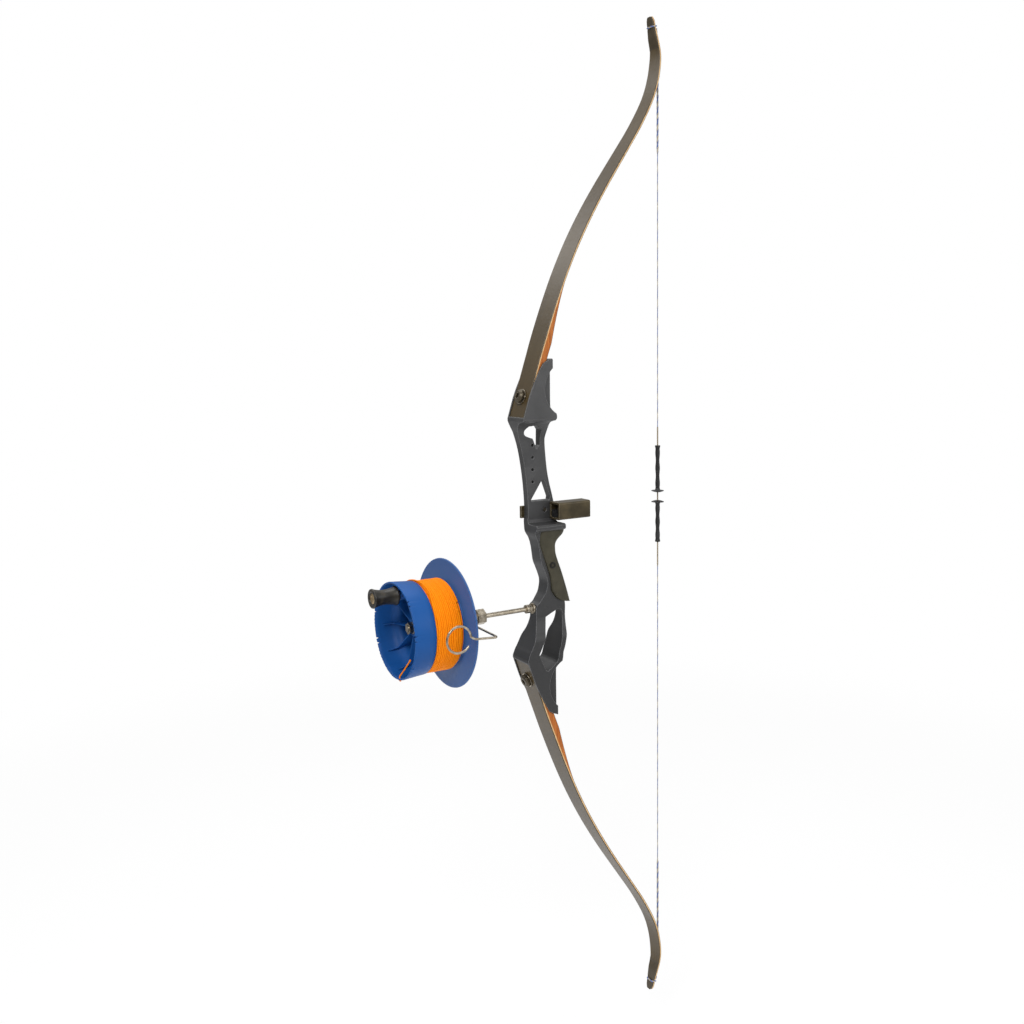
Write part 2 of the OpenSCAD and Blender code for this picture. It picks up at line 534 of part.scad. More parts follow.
module grip_screw(s) color([0.16, 0.16, 0.15]) mirror([0, s > 0 ? 0 : 1, 0]) difference() {
  union() {
    along_y(grip_hw - 2.2, grip_hw + 0.6, grip_screw_d / 2, grip_screw_x, -grip_screw_z);
    along_y(2, grip_hw - 2.2 + e, 2, grip_screw_x, -grip_screw_z);
  }
  along_y(grip_hw - 1.2, grip_hw + 2, 2, grip_screw_x, -grip_screw_z, 6);
}
module grip_screw_near() grip_screw(-1);
module grip_screw_far() grip_screw(1);

// Bowstring

// Bars through a list of points with round joints
module strand(p, r) for (i = [0:len(p) - 2]) {
  bar(p[i], p[i + 1], r);
  if (i > 0) translate(p[i]) sphere(r = r, $fn = 24);
}
// The loop seated in the nock: down each side notch and across the back of the tip
loop_r = 0.4 * twist_d;
neck_gap = 0.7;
function notch_y() = half_w(nock_t) - 0.5;
function nock_belly(s) = limb_pt(s, nock_t, blade_t + loop_r + 0.1);
function nock_back(s) = limb_pt(s, nock_t, -overlay_t - loop_r - 0.1);
module string_loop(s) color([0.12, 0.30, 0.55]) limb_side(s) let (b = nock_belly(s), f = nock_back(s),
  y = notch_y(), a = lean(s, nock_t), p0 = [b[0], -y, b[1]], p1 = [f[0], -y, f[1]], p2 = [f[0], y, f[1]],
  p3 = [b[0], y, b[1]])
  tube(concat([p0], corner(p0, p1, p2, 2), corner(p1, p2, p3, 2), [p3]), loop_r, 8, [sin(a), 0, cos(a)]);
// The neck along the belly, from the two side strands to where the string lifts off
module string_neck(s) color([0.12, 0.30, 0.55]) limb_side(s) let (b = nock_belly(s), y = notch_y(),
  m = limb_pt(s, nock_t - 17, blade_t + twist_d / 2 + neck_gap),
  q = limb_pt(s, nock_t - 2 * loop_r - 0.4, blade_t + loop_r + neck_gap)) {
  strand([[string_x, 0, lift_t], [m[0], 0, m[1]], [m[0], 0, m[1]] + [0, 0, 0.5]], twist_d / 2);
  for (k = [-1, 1]) strand([[m[0], 0, m[1]], [q[0], k * (y - loop_r - 0.2), q[1]]], loop_r);
}
module string_half(s) color([0.62, 0.66, 0.72]) {
  z0 = s > 0 ? nocking_z + serving_len / 2 : nocking_z - serving_len / 2;
  zl = mid_z + s * (lift_t - 0.7);
  zt = mid_z + s * (nock_t - twist_len);
  translate([string_x, 0, min(zt, zl)]) cylinder(h = abs(zl - zt), r = twist_d / 2, $fn = 24);
  translate([string_x, 0, min(zt, z0)]) cylinder(h = abs(zt - z0) + e, r = string_r, $fn = 24);
}
serving_up = saver_up_len + 26;
serving_low = saver_low_len + 34;
module serving_tube(s, len) color([0.42, 0.36, 0.26]) {
  z = nocking_z + s * serving_len / 2;
  translate([string_x, 0, s > 0 ? z : z - len]) difference() {
    cylinder(h = len, r = serving_d / 2, $fn = 24);
    translate([0, 0, -1]) cylinder(h = len + 2, r = string_r + 0.01, $fn = 24);
  }
}
// Rubber sleeve with a flange at the arrow, a soft swell along it and a flared end
module saver(s, len) color([0.06, 0.06, 0.06]) {
  r = saver_d / 2;
  z = nocking_z + s * (serving_len / 2 + 0.02);
  f = saver_flange_d / 2;
  translate([string_x, 0, z]) mirror([0, 0, s > 0 ? 0 : 1]) difference() {
    rotate_extrude($fn = 48) polygon(concat([[0, 0], [r + 0.6, 0], [f - 0.5, 1.4], [f, 2], [f - 0.4, 2.7], [r + 1, 3.2]],
      [for (i = [0:24]) let (u = i / 24) [r + 0.4 * sin(u * 900), 4.4 + u * (len - 9.4)]],
      [[r + 0.2, len - 3], [r + 0.7, len - 1], [r + 0.5, len], [0, len]]));
    translate([0, 0, -1]) cylinder(h = len + 2, r = serving_d / 2 + 0.02, $fn = 24);
  }
}
module upper_string_loop() string_loop(1);
module upper_string_neck() string_neck(1);
module upper_string() string_half(1);
module upper_serving() serving_tube(1, serving_up);
module upper_finger_saver() saver(1, saver_up_len);
module lower_string_loop() string_loop(-1);
module lower_string_neck() string_neck(-1);
module lower_string() string_half(-1);
module lower_serving() serving_tube(-1, serving_low);
module lower_finger_saver() saver(-1, saver_low_len);
module centre_serving() color([0.42, 0.36, 0.26]) translate([string_x, 0, nocking_z])
  cylinder(h = serving_len - 0.1, r = serving_d / 2, center = true, $fn = 24);

// Arrow rest: a box round the arrow's path, carried by a bar bolted to the far side of the riser

bracket_y0 = window_y0 + window_t;
rest_y1 = bracket_y0 + bracket_t;
rest_x1 = rest_x0 + rest_len;
rest_z0 = rest_z - rest_h / 2;
rest_far = window_y0 - 0.3;
rest_screws = [rest_x1 - 24, rest_x1 - 10];
module rest_housing() color([0.30, 0.26, 0.17]) difference() {
  extrude_x(rest_x0, rest_x1) round_box(0, 2.4);
  extrude_x(rest_x0 - 1, rest_x1 + 1) round_box(rest_wall, 1.2);
  for (x = rest_screws) along_y(0, bracket_y0, 2.05, x, rest_z);
}
// Rounded rectangle of the housing, drawn in by d
module round_box(d, r) {
  y0 = rest_y0 + d;
  y1 = rest_far - d;
  z0 = rest_z0 + d;
  z1 = rest_z0 + rest_h - d;
  translate([y0 + r, z0]) square([y1 - y0 - 2 * r, z1 - z0]);
  translate([y0, z0 + r]) square([y1 - y0, z1 - z0 - 2 * r]);
  for (y = [y0 + r, y1 - r]) for (z = [z0 + r, z1 - r]) translate([y, z]) circle(r = r, $fn = 32);
}
module rest_bracket() color([0.34, 0.27, 0.17]) difference() {
  union() {
    extrude_y(bracket_y0, rest_y1) translate([-36, bar_z - bracket_h / 2]) square([rest_x1 - 6 + 36, bracket_h]);
    along_y(bracket_y0, rest_y1, bracket_h / 2, rest_x1 - 6, bar_z, 48);
    extrude_y(rest_far, bracket_y0 + e) translate([rest_screws[0] - 8, bar_z - bracket_h / 2])
      square([rest_screws[1] - rest_screws[0] + 14, bracket_h]);
  }
  along_y(0, 60, rest_bolt_d / 2 + 0.05, rest_bolt_x, rest_bolt_z);
  for (x = rest_screws) along_y(0, 60, 2.05, x, rest_z);
}
module rest_bolt() color([0.62, 0.60, 0.56]) {
  along_y(window_y0 + 1.5, rest_y1 + e, rest_bolt_d / 2, rest_bolt_x, rest_bolt_z);
  along_y(rest_y1, rest_y1 + 3.5, rest_bolt_d * 0.9, rest_bolt_x, rest_bolt_z, 6);
  for (x = rest_screws) {
    along_y(rest_far - rest_wall, rest_y1 + e, 2, x, rest_z);
    along_y(rest_y1, rest_y1 + 1.8, 3.6, x, rest_z);
  }
}
// A moulded V on the housing's floor that the arrow lies in
module rest_cradle() color([0.10, 0.10, 0.10]) let (z0 = rest_z0 + rest_wall, z1 = rest_z - 3, z2 = rest_z + 1)
  extrude_x(rest_x0 + 1, rest_x1 - 10)
  polygon([[-4.8, z0], [4.8, z0], [5.2, z2], [4.4, z2], [0, z1], [-4.4, z2], [-5.2, z2]]);

// Reel mount: bushing, rod, nuts and the drum's spindle, all on one axis along X

reel_z = -reel_drop;
coupler_x = -107;
stop_x = coupler_x - coupler_len;
hub_front = groove_z0 + groove_w + 4;
module stabiliser_bushing() color([0.62, 0.60, 0.56]) difference() {
  union() {
    along_x(-32, bushing_x1, bushing_d / 2, 0, reel_z);
    along_x(-33, -32 + e, bushing_d / 2 + 1.5, 0, reel_z);
  }
  along_x(-40, -10, rod_d / 2 + 0.02, 0, reel_z);
}
module reel_rod() color([0.62, 0.58, 0.52]) along_x(coupler_x - 4.5, bushing_x1, rod_d / 2, 0, reel_z);
module ring_x(x0, x1, ro, ri, fn = 48) difference() {
  along_x(x0, x1, ro, 0, reel_z, fn);
  along_x(x0 - 1, x1 + 1, ri, 0, reel_z);
}
module rod_washer() color([0.70, 0.68, 0.64]) ring_x(-34.2, -33, 7, rod_d / 2 + 0.02);
module rod_nut() color([0.66, 0.62, 0.56]) {
  ring_x(-40, -34.2, 10 / 2 / cos(30), rod_d / 2 + 0.02, 6);
  ring_x(-43.2, -40, 5.6, rod_d / 2 + 0.02);
}
module coupler_nut() color([0.66, 0.62, 0.56]) difference() {
  along_x(stop_x, coupler_x, coupler_af / 2 / cos(30), 0, reel_z, 6);
  along_x(coupler_x - 4.5, coupler_x + 1, rod_d / 2 + 0.02, 0, reel_z);
  along_x(stop_x - 1, stop_x + 5.5, spindle_d / 2 + 0.02, 0, reel_z);
}
module drum_spindle() color([0.62, 0.58, 0.52]) {
  along_x(-flange_x - hub_front - 8, stop_x + 5.5, spindle_d / 2, 0, reel_z);
  ring_x(-flange_x + 0.3, stop_x, 6.5, spindle_d / 2 - e);
}
module drum_nut() color([0.66, 0.62, 0.56]) {
  ring_x(-flange_x - hub_front - 1.3, -flange_x - hub_front - 0.3, 7.5, spindle_d / 2 + 0.02);
  ring_x(-flange_x - hub_front - 6.8, -flange_x - hub_front - 1.3, 13 / 2 / cos(30), spindle_d / 2 + 0.02, 6);
}

// Drum: a cup open to the front with a wide rear flange, a groove for the line and radial ribs

module on_drum() translate([-flange_x, 0, reel_z]) rotate([0, -90, 0]) children();
groove_z1 = groove_z0 + groove_w;
core_r = core_d / 2;
rim_r = rim_d / 2;
lip_r = rim_r - 2.4;
module drum_wall() rotate_extrude($fn = 144) polygon([
  [spindle_d / 2 + run_gap, 0], [flange_d / 2 - 0.8, 0], [flange_d / 2, 0.8], [flange_d / 2, flange_t],
  [core_r + 3.5, flange_t + 0.6], [core_r + 2.4, groove_z0], [core_r, groove_z0], [core_r, groove_z1],
  [lip_r, groove_z1], [rim_r, cup_depth - 0.8], [rim_r - 0.8, cup_depth], [rim_r - cup_wall, cup_depth],
  [lip_r - cup_wall, groove_z1 + cup_wall + 1], [core_r - cup_wall, groove_z1 - 1],
  [core_r - cup_wall, 3.5 + flange_t], [hub_d / 2, 3.5 + flange_t], [hub_d / 2, hub_front],
  [spindle_d / 2 + run_gap, hub_front]]);
module drum() color([0.13, 0.29, 0.60]) on_drum() difference() {
  union() {
    drum_wall();
    for (i = [0:rib_n - 1]) rotate([0, 0, 360 * (i + 0.5) / rib_n]) rotate([90, 0, 0])
      linear_extrude(height = rib_t, center = true)
        polygon([[hub_d / 2 - 2, 3], [core_r - 1, 3], [core_r - 1, groove_z1 - 8], [hub_d / 2 - 2, hub_front - 1]]);
    translate([knob_r, 0, 3]) cylinder(h = cup_depth - 10, r = min(7, core_r - knob_r - 0.4), $fn = 48);
  }
  translate([knob_r, 0, 10]) cylinder(h = 100, r = 2.5, $fn = 32);
  for (i = [0:rib_n - 1]) rotate([0, 0, notch_a + 360 * i / rib_n]) translate([rim_r - 8, -1.3, cup_depth - 3.5])
    cube([12, 2.6, 10]);
}
notch_a = 191;
knob_z0 = cup_depth - 4.5;
module knob_spindle() color([0.72, 0.58, 0.32]) on_drum() translate([knob_r, 0, 0]) {
  translate([0, 0, 10]) cylinder(h = knob_z0 + knob_len - 10 + 0.9, r = 2.5, $fn = 32);
  translate([0, 0, knob_z0 + knob_len + 0.6]) rotate_extrude() polygon([[0, 0], [4.2, 0], [3.6, 1], [2, 1.5], [0, 1.5]]);
}
module knob() color([0.15, 0.13, 0.10]) on_drum() translate([knob_r, 0, knob_z0 + 0.3]) {
  r = knob_d / 2;
  n = 12;
  rotate_extrude() polygon(concat([[2.5 + run_gap, 0], [r - 0.8, 0]],
    [for (i = [0:n]) let (u = i / n) [r - 2.6 * sin(180 * u), 1 + u * (knob_len - 2)]],
    [[r - 0.8, knob_len], [2.5 + run_gap, knob_len]]));
}

// Line: plain bulk on the drum, one outer layer of turns and the tail through a rim notch

bulk_r = core_r + 0.05 + bulk_t;
turn_r = (bulk_r + 0.05 + line_d / 2) / cos(7.5);
wind_z0 = groove_z0 + 1.6;
wind_z1 = groove_z1 - 1.6;
pitch = (wind_z1 - wind_z0) / line_n;
function turn_pt(u) = [turn_r * cos(360 * u + notch_a - 8), turn_r * sin(360 * u + notch_a - 8), wind_z0 + pitch * u];
winding_pts = concat([turn_pt(0) - line_d * unit(turn_pt(1 / 24) - turn_pt(0))],
  [for (i = [0:24 * line_n]) turn_pt(i / 24)],
  [turn_pt(line_n) + line_d * unit(turn_pt(line_n) - turn_pt(line_n - 1 / 24))]);
// Least gap between one turn and the next, over points a whole turn apart
echo(least_gap = min([for (i = [0:len(winding_pts) - 25]) for (k = [-2:2])
  norm(winding_pts[i] - winding_pts[min(len(winding_pts) - 1, max(0, i + 24 + k))])]) - line_d);
module line_bulk() color([0.95, 0.42, 0.08]) on_drum() difference() {
  translate([0, 0, groove_z0 + 0.05]) cylinder(h = groove_w - 0.1, r = bulk_r, $fn = 96);
  cylinder(h = 80, r = core_r + 0.05, $fn = 96);
}
module line_winding() color([1.0, 0.50, 0.10]) on_drum() tube(winding_pts, line_d / 2, 6, [0, 0, 1]);
module line_tail() color([1.0, 0.50, 0.10]) on_drum() {
  r = line_d / 2;
  a = notch_a;
  c = [cos(a), sin(a), 0];
  k = [-sin(a), cos(a), 0];
  p = [[turn_r + 0.9, -5.6, groove_z1 - 1.5], [turn_r + 1.6, -4, groove_z1 - 1.5], [rim_r - 1.5, -1.8, groove_z1 - 1.4],
    [rim_r - 1.1, -0.3, groove_z1], [rim_r - 1, 0, groove_z1 + 3.2], [rim_r - 0.1, 0, groove_z1 + 14.2],
    [rim_r + 0.8, 0, cup_depth - 5], [rim_r + 0.6, 0, cup_depth - 2.4], [rim_r - 1.5, 0, cup_depth - 1.5],
    [rim_r - 5, 0.4, cup_depth - 1.5], [rim_r - 13, 16, cup_depth - 3.5], [rim_r - 24, 33, cup_depth - 7]];
  tube([for (q = p) q[0] * c + q[1] * k + [0, 0, q[2]]], r, 8, unit(c + k));
}

// Wire guide: a leg out to the side, a leg forward past the flange and an open eye for the line

collar_x = -(flange_x - 20.8);
module guide_collar() color([0.66, 0.62, 0.56]) ring_x(collar_x - 4.5, collar_x + 4.5, 9.5, 6.52);
module wire_guide() color([0.66, 0.64, 0.60]) {
  p0 = [collar_x, -9.45, reel_z];
  p1 = [collar_x, -wire_reach, reel_z - 1];
  p2 = [collar_x - 31.9, -wire_reach, reel_z + 1.6];
  c = [collar_x - 52.4, -wire_reach, reel_z + 4.1];
  a0 = atan2(p2[2] - c[2], p2[0] - c[0]) + 12;
  eye = [for (i = [0:36]) c + wire_loop_r * [cos(a0 + 318 * i / 36), 0, sin(a0 + 318 * i / 36)]];
  tube(concat([p0, p0 - [0, 20, 0]], corner(p0, p1, p2, 6), corner(p1, p2, eye[0], 4), eye),
    wire_d / 2, 12, [0.35, -1, 0.3]);
}

riser();
grip();
grip_screw_near();
grip_screw_far();
upper_butt_back();
upper_butt_core();
upper_butt_wedge();
upper_butt_belly();
upper_blade_back();
upper_blade_core();
upper_blade_belly();
upper_tip_overlay();
lower_butt_back();
lower_butt_core();
lower_butt_wedge();
lower_butt_belly();
lower_blade_back();
lower_blade_core();
lower_blade_belly();
lower_tip_overlay();
upper_limb_bolt();
upper_limb_washer();
upper_locating_pin();
lower_limb_bolt();
lower_limb_washer();
lower_locating_pin();
upper_string_loop();
upper_string_neck();
upper_string();
upper_serving();
upper_finger_saver();
lower_string_loop();
lower_string_neck();
lower_string();
lower_serving();
lower_finger_saver();
centre_serving();
rest_housing();
rest_bracket();
rest_bolt();
rest_cradle();
stabiliser_bushing();
reel_rod();
rod_washer();
rod_nut();
coupler_nut();
drum_spindle();
drum();
drum_nut();
knob();
knob_spindle();
line_bulk();
line_winding();
line_tail();
guide_collar();
wire_guide();
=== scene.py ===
import math

import bpy
import numpy as np
from mathutils import Matrix


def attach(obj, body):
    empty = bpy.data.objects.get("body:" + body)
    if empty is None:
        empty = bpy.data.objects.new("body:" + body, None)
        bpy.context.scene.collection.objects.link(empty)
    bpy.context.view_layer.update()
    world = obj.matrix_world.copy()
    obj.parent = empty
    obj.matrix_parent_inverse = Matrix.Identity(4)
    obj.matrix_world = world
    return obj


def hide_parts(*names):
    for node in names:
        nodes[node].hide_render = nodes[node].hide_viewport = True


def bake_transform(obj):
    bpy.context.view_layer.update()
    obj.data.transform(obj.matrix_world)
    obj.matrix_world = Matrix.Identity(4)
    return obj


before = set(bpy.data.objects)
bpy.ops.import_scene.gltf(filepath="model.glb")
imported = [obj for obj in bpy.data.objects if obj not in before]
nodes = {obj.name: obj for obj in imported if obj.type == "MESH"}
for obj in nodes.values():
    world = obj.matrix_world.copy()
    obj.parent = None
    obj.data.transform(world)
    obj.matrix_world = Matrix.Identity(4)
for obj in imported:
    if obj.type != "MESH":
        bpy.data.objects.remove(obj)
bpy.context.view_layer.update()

# ---------------------------------------------------------------- camera
# The photographer stood to the front left of the bow, a little below the top
# of the riser, and looked slightly down, with the whole bow upright in frame.
look = np.array([0.49175, 0.86564, -0.09411])
right = np.array([0.86859, -0.49524, -0.01668])
up = np.array([0.06105, 0.07354, 0.99542])
lens = bpy.data.cameras.new("photo_camera")
lens.sensor_width = 36.0
lens.lens = 35.40
lens.shift_x, lens.shift_y = 0.03125, -0.0605
lens.clip_end = 50.0


def stand(name, data, side, rise, back, spot):
    """An object at spot whose own X, Y and Z point along side, rise and back."""
    obj = bpy.data.objects.new(name, data)
    obj.matrix_world = Matrix([[side[i], rise[i], back[i], spot[i]] for i in range(3)] + [[0, 0, 0, 1]])
    bpy.context.collection.objects.link(obj)
    return obj


camera_at = (-0.73113, -1.09711, 0.25313)
bpy.context.scene.camera = stand("photo_camera", lens, right, up, -look, camera_at)


# ------------------------------------------------------- line on the drum
# A braided orange line, wound on the drum in even turns over a full bulk.
# Its end runs over the cup's rim through a notch and lies inside the cup.

def put_mesh(name, points, faces, uv=None, smooth=True):
    """A mesh object from an (n, 3) array of metres and a list of corner lists. A closed mesh whose signed
    volume, the sum over its triangles of a . (b x c) / 6, is negative has its faces turned round."""
    faces = [list(f) for f in faces]
    fans = np.array([(f[0], f[i], f[i + 1]) for f in faces for i in range(1, len(f) - 1)])
    a, b, c = (points[fans[:, i]] - points.mean(0) for i in range(3))
    if np.einsum("ij,ij->i", a, np.cross(b, c)).sum() < 0:
        faces = [f[::-1] for f in faces]
    mesh = bpy.data.meshes.new(name)
    mesh.from_pydata(points.tolist(), [], faces)
    mesh.polygons.foreach_set("use_smooth", np.full(len(mesh.polygons), smooth))
    if uv is not None:
        corner = np.empty(len(mesh.loops), np.int32)
        mesh.loops.foreach_get("vertex_index", corner)
        layer = mesh.uv_layers.new(name="lay")
        layer.data.foreach_set("uv", uv[corner].astype(np.float32).ravel())
    mesh.validate()
    mesh.update()
    obj = bpy.data.objects.new(name, mesh)
    bpy.context.collection.objects.link(obj)
    return obj


def ring_faces(rings, sides):
    """Quads between neighbouring rings: corner k and k + 1 of one ring, then k + 1 and k of the next."""
    i, k = np.meshgrid(np.arange(rings - 1), np.arange(sides), indexing="ij")
    a = i * sides + k
    b = i * sides + (k + 1) % sides
    return np.stack([a, b, b + sides, a + sides], -1).reshape(-1, 4).tolist()


def run_of(p):
    """Length along the points p from the first: the running sum of the steps between neighbours."""
    return np.concatenate([[0], np.cumsum(np.linalg.norm(np.diff(p, axis=0), axis=1))])


def at_run(p, s):
    """The points at the lengths s along the points p."""
    run = run_of(p)
    return np.stack([np.interp(s, run, p[:, i]) for i in range(p.shape[1])], -1)


def joined(parts):
    """The points and faces of several (points, faces) forms as one form."""
    points, faces, start = [], [], 0
    for p, f in parts:
        points.append(p)
        faces += [[i + start for i in face] for face in f]
        start += len(p)
    return np.vstack(points), faces


def sweep(path, outline, aim):
    """Points, faces and UV of an outline carried along a path. Each ring is path + outline_x * side +
    outline_y * rise, where side is square to the path and to aim. UV is the length along and the turn round."""
    d = np.gradient(path, axis=0)
    d /= np.linalg.norm(d, axis=1)[:, None]
    side = np.cross(np.broadcast_to(aim, d.shape), d)
    side /= np.linalg.norm(side, axis=1)[:, None]
    rise = np.cross(d, side)
    outline = np.broadcast_to(outline, (len(path),) + outline.shape[-2:])
    sides = outline.shape[1]
    p = path[:, None] + outline[..., :1] * side[:, None] + outline[..., 1:] * rise[:, None]
    run = run_of(path)
    uv = np.stack([np.repeat(run, sides), np.tile(np.arange(sides) / sides, len(path))], -1)
    points = np.vstack([p.reshape(-1, 3), path[0], path[-1]])
    uv = np.vstack([uv, [run[0], 0.5], [run[-1], 0.5]])
    faces = ring_faces(len(path), sides)
    n, last = len(path) * sides, (len(path) - 1) * sides
    for k in range(sides):
        faces.append([(k + 1) % sides, k, n])
        faces.append([last + k, last + (k + 1) % sides, n + 1])
    return points, faces, uv


def swept(name, *tubes):
    """One object from one or more (path, outline, aim) tubes."""
    made = [sweep(*tube) for tube in tubes]
    points, faces = joined([(p, f) for p, f, uv in made])
    return put_mesh(name, points, faces, np.vstack([uv for p, f, uv in made]))


def circle(radius, sides):
    """Points round a circle: radius * (cos a, sin a) at even angles a."""
    a = np.arange(sides) * 2 * np.pi / sides
    return radius * np.stack([np.cos(a), np.sin(a)], -1)


def smooth_path(p, step):
    """A Catmull-Rom curve through the points p, resampled at even steps. Each span is the cubic whose slope at
    a point is half the way from the point before to the point after."""
    p = np.asarray(p, float)
    q = np.vstack([2 * p[0] - p[1], p, 2 * p[-1] - p[-2]])
    u = np.linspace(0, 1, 24, endpoint=False)[:, None]
    spans = [0.5 * (2 * b + (c - a) * u + (2 * a - 5 * b + 4 * c - d) * u ** 2
                    + (3 * b - a - 3 * c + d) * u ** 3) for a, b, c, d in zip(q, q[1:], q[2:], q[3:])]
    fine = np.vstack(spans + [p[-1:]])
    whole = run_of(fine)[-1]
    return at_run(fine, np.linspace(0, whole, max(2, int(whole / step) + 1)))


class Wire:
    """A shader socket that adds Math nodes when it is used in arithmetic."""

    def __init__(self, finish, socket):
        self.finish, self.socket = finish, socket

    def maths(self, kind, a, b=None):
        """One Math node of that kind on a, or on a and b."""
        return self.finish.add("ShaderNodeMath", {"operation": kind}, {0: a} if b is None else {0: a, 1: b})

    def __add__(self, other): return self.maths("ADD", self, other)
    def __sub__(self, other): return self.maths("SUBTRACT", self, other)
    def __rsub__(self, other): return self.maths("SUBTRACT", other, self)
    def __mul__(self, other): return self.maths("MULTIPLY", self, other)
    def sin(self): return self.maths("SINE", self)
    def abs(self): return self.maths("ABSOLUTE", self)

    def ramp(self, low, high):
        """0 below low, 1 above high, smooth between."""
        return self.finish.add("ShaderNodeMapRange", {"interpolation_type": "SMOOTHSTEP"},
                               {"Value": self, "From Min": low, "From Max": high})


class Finish:
    """One procedural material: a Principled shader, and a method that adds the nodes that feed it."""

    def __init__(self, name, colour, rough, metal=0.0, specular=0.5):
        self.material = bpy.data.materials.new(name)
        self.material.use_nodes = True
        self.tree = self.material.node_tree
        self.shader = self.tree.nodes["Principled BSDF"]
        self.shader.inputs["Base Color"].default_value = (*colour, 1)
        self.shader.inputs["Roughness"].default_value = rough
        self.shader.inputs["Metallic"].default_value = metal
        self.shader.inputs["Specular IOR Level"].default_value = specular

    def plug(self, value, socket):
        """Links a Wire to a socket, or sets the socket to a number or colour."""
        if isinstance(value, Wire):
            self.tree.links.new(value.socket, socket)
        elif socket.type == "RGBA" and len(value) == 3:
            socket.default_value = (*value, 1)
        else:
            socket.default_value = value

    def add(self, kind, settings=None, values=None, out=0):
        """A node of that kind with its settings and input values, as the Wire of one of its outputs."""
        node = self.tree.nodes.new(kind)
        for key, value in (settings or {}).items():
            setattr(node, key, value)
        for key, value in (values or {}).items():
            self.plug(value, node.inputs[key])
        return Wire(self, node.outputs[out])

    def feed(self, socket, value):
        """Plugs a value into the Principled shader."""
        self.plug(value, self.shader.inputs[socket])

    def place(self):
        """Position in the part's frame, in metres."""
        return self.add("ShaderNodeTexCoord", out="Object")

    def lay(self):
        """The piece's own UV: length along it in metres, and turn round it."""
        return self.add("ShaderNodeUVMap", {"uv_map": "lay"})

    def noise(self, where, scale, detail=2.0):
        """Fractal noise, 0 to 1, of that scale and number of octaves."""
        return self.add("ShaderNodeTexNoise", None, {"Vector": where, "Scale": scale, "Detail": detail})

    def stretch(self, where, scale):
        """A place multiplied by scale, axis by axis."""
        return self.add("ShaderNodeMapping", None, {"Vector": where, "Scale": scale})

    def part(self, where, axis):
        """One axis of a vector."""
        return self.add("ShaderNodeSeparateXYZ", None, {"Vector": where}, out=axis)

    def mix(self, share, low, high):
        """The colour low * (1 - share) + high * share."""
        return self.add("ShaderNodeMix", {"data_type": "RGBA"}, {"Factor": share, 6: low, 7: high}, out=2)

    def relief(self, height, depth, strength, edge=0.0):
        """A bump of that depth in metres, over rounded edges where edge gives their radius."""
        values = {"Height": height, "Distance": depth, "Strength": strength}
        if edge:
            values["Normal"] = self.edges(edge)
        self.feed("Normal", self.add("ShaderNodeBump", None, values))

    def edges(self, radius):
        """The normal, rounded over within radius of a sharp edge."""
        return self.add("ShaderNodeBevel", {"samples": 6}, {"Radius": radius})

    def rim(self, radius):
        """1 within about radius of a sharp edge and 0 on open faces: one less the dot of both normals. It is the mask
        for painted highlights along edges.
        """
        flat = self.add("ShaderNodeNewGeometry", out=1)
        return (1 - self.add("ShaderNodeVectorMath", {"operation": "DOT_PRODUCT"},
                             {0: self.edges(radius), 1: flat}, out=1)).ramp(0.01, 0.12)

    def on(self, *objs):
        """Makes this the only material of the objects."""
        for obj in objs:
            obj.data.materials.clear()
            obj.data.materials.append(self.material)


def to_world(p):
    """Drum coordinates (up, across, forward) in mm to the row frame in metres."""
    p = np.asarray(p, float)
    return np.stack([-flange_x - p[..., 2], p[..., 1], -reel_drop + p[..., 0]], -1) / 1000


flange_x, reel_drop = 159.5, 79.8
core_r, rim_r, groove_a, groove_b = 50.0, 60.0, 6.6, 43.8
bulk_t, gap, inset = 4.7, 0.05, 1.6
turns, per_turn, line_d = 14, 72, 1.9
# The solid's own winding goes round in chords of 15 degrees, whose middles just clear the bulk at this radius.
turn_r = (core_r + gap + bulk_t + gap + line_d / 2) / math.cos(math.radians(7.5))
wind_a, wind_b = groove_a + inset, groove_b - inset
notch, first = math.radians(191), math.radians(-50)
u = np.linspace(0, turns, turns * per_turn + 1)
ease_in = np.clip(np.minimum(u, turns - u) / 0.3, 0, 1)
wander = 0.12 * np.sin(2.3 * u) + 0.08 * np.sin(7.1 * u + 1)
radius = turn_r - 0.2 + ease_in * 0.12 * np.sin(5.3 * u)
winding = np.stack([radius * np.cos(2 * np.pi * u + first), radius * np.sin(2 * np.pi * u + first),
                    wind_a + (wind_b - wind_a) * u / turns + ease_in * wander], -1)

# The end leaves the winding lead points before its last, and follows over, as (degrees, forward): first it rises by
# climb to cross the last turn, then it lies on the cup's side, as (radius, forward) in cup_side, up to the notch.
lead, lap = 8, 4
cup_side = np.array([(57.0, 43.6), (57.6, 44.4), (58.1, 52), (59.8, 71.6)])
over = np.array([(-50, 42.0), (-42, 40.6), (-33, 39.2), (-22, 39.3), (-10, 40.2), (2, 41.6), (12, 42.4), (22, 42.8),
                 (40, 43.2), (60, 45.5), (90, 53), (120, 60), (160, 67), (183, 69.2), (189.5, 70.6)])
clear = np.interp(over[:, 1], cup_side[:, 1], cup_side[:, 0]) + line_d / 2 + 0.15
climb = np.array([0, 1.2, 1.9, 1.9, 1.9, 1.9, 1.9, 1.9, 2.0])
clear[:len(climb)] = turn_r + climb
angle = np.radians(over[:, 0])
over = np.stack([clear * np.cos(angle), clear * np.sin(angle), over[:, 1]], -1)
# It goes through the notch and down inside the cup, as (outward, along the rim, forward) at the notch.
out = np.array([math.cos(notch), math.sin(notch), 0])
along = np.array([-math.sin(notch), math.cos(notch), 0])
tail = np.array([r * out + k * along + [0, 0, z] for r, k, z in [
    (60.2, 0, 71.3), (58.5, 0, 71.5), (55, 0.4, 71.5), (46.5, 11.5, 69.5), (35, 24, 66)]])
end = smooth_path(np.vstack([winding[-lead], winding[-lap], over[1:], tail]), 0.8)[1:]
line_path = to_world(np.vstack([winding[:-lead], end]))
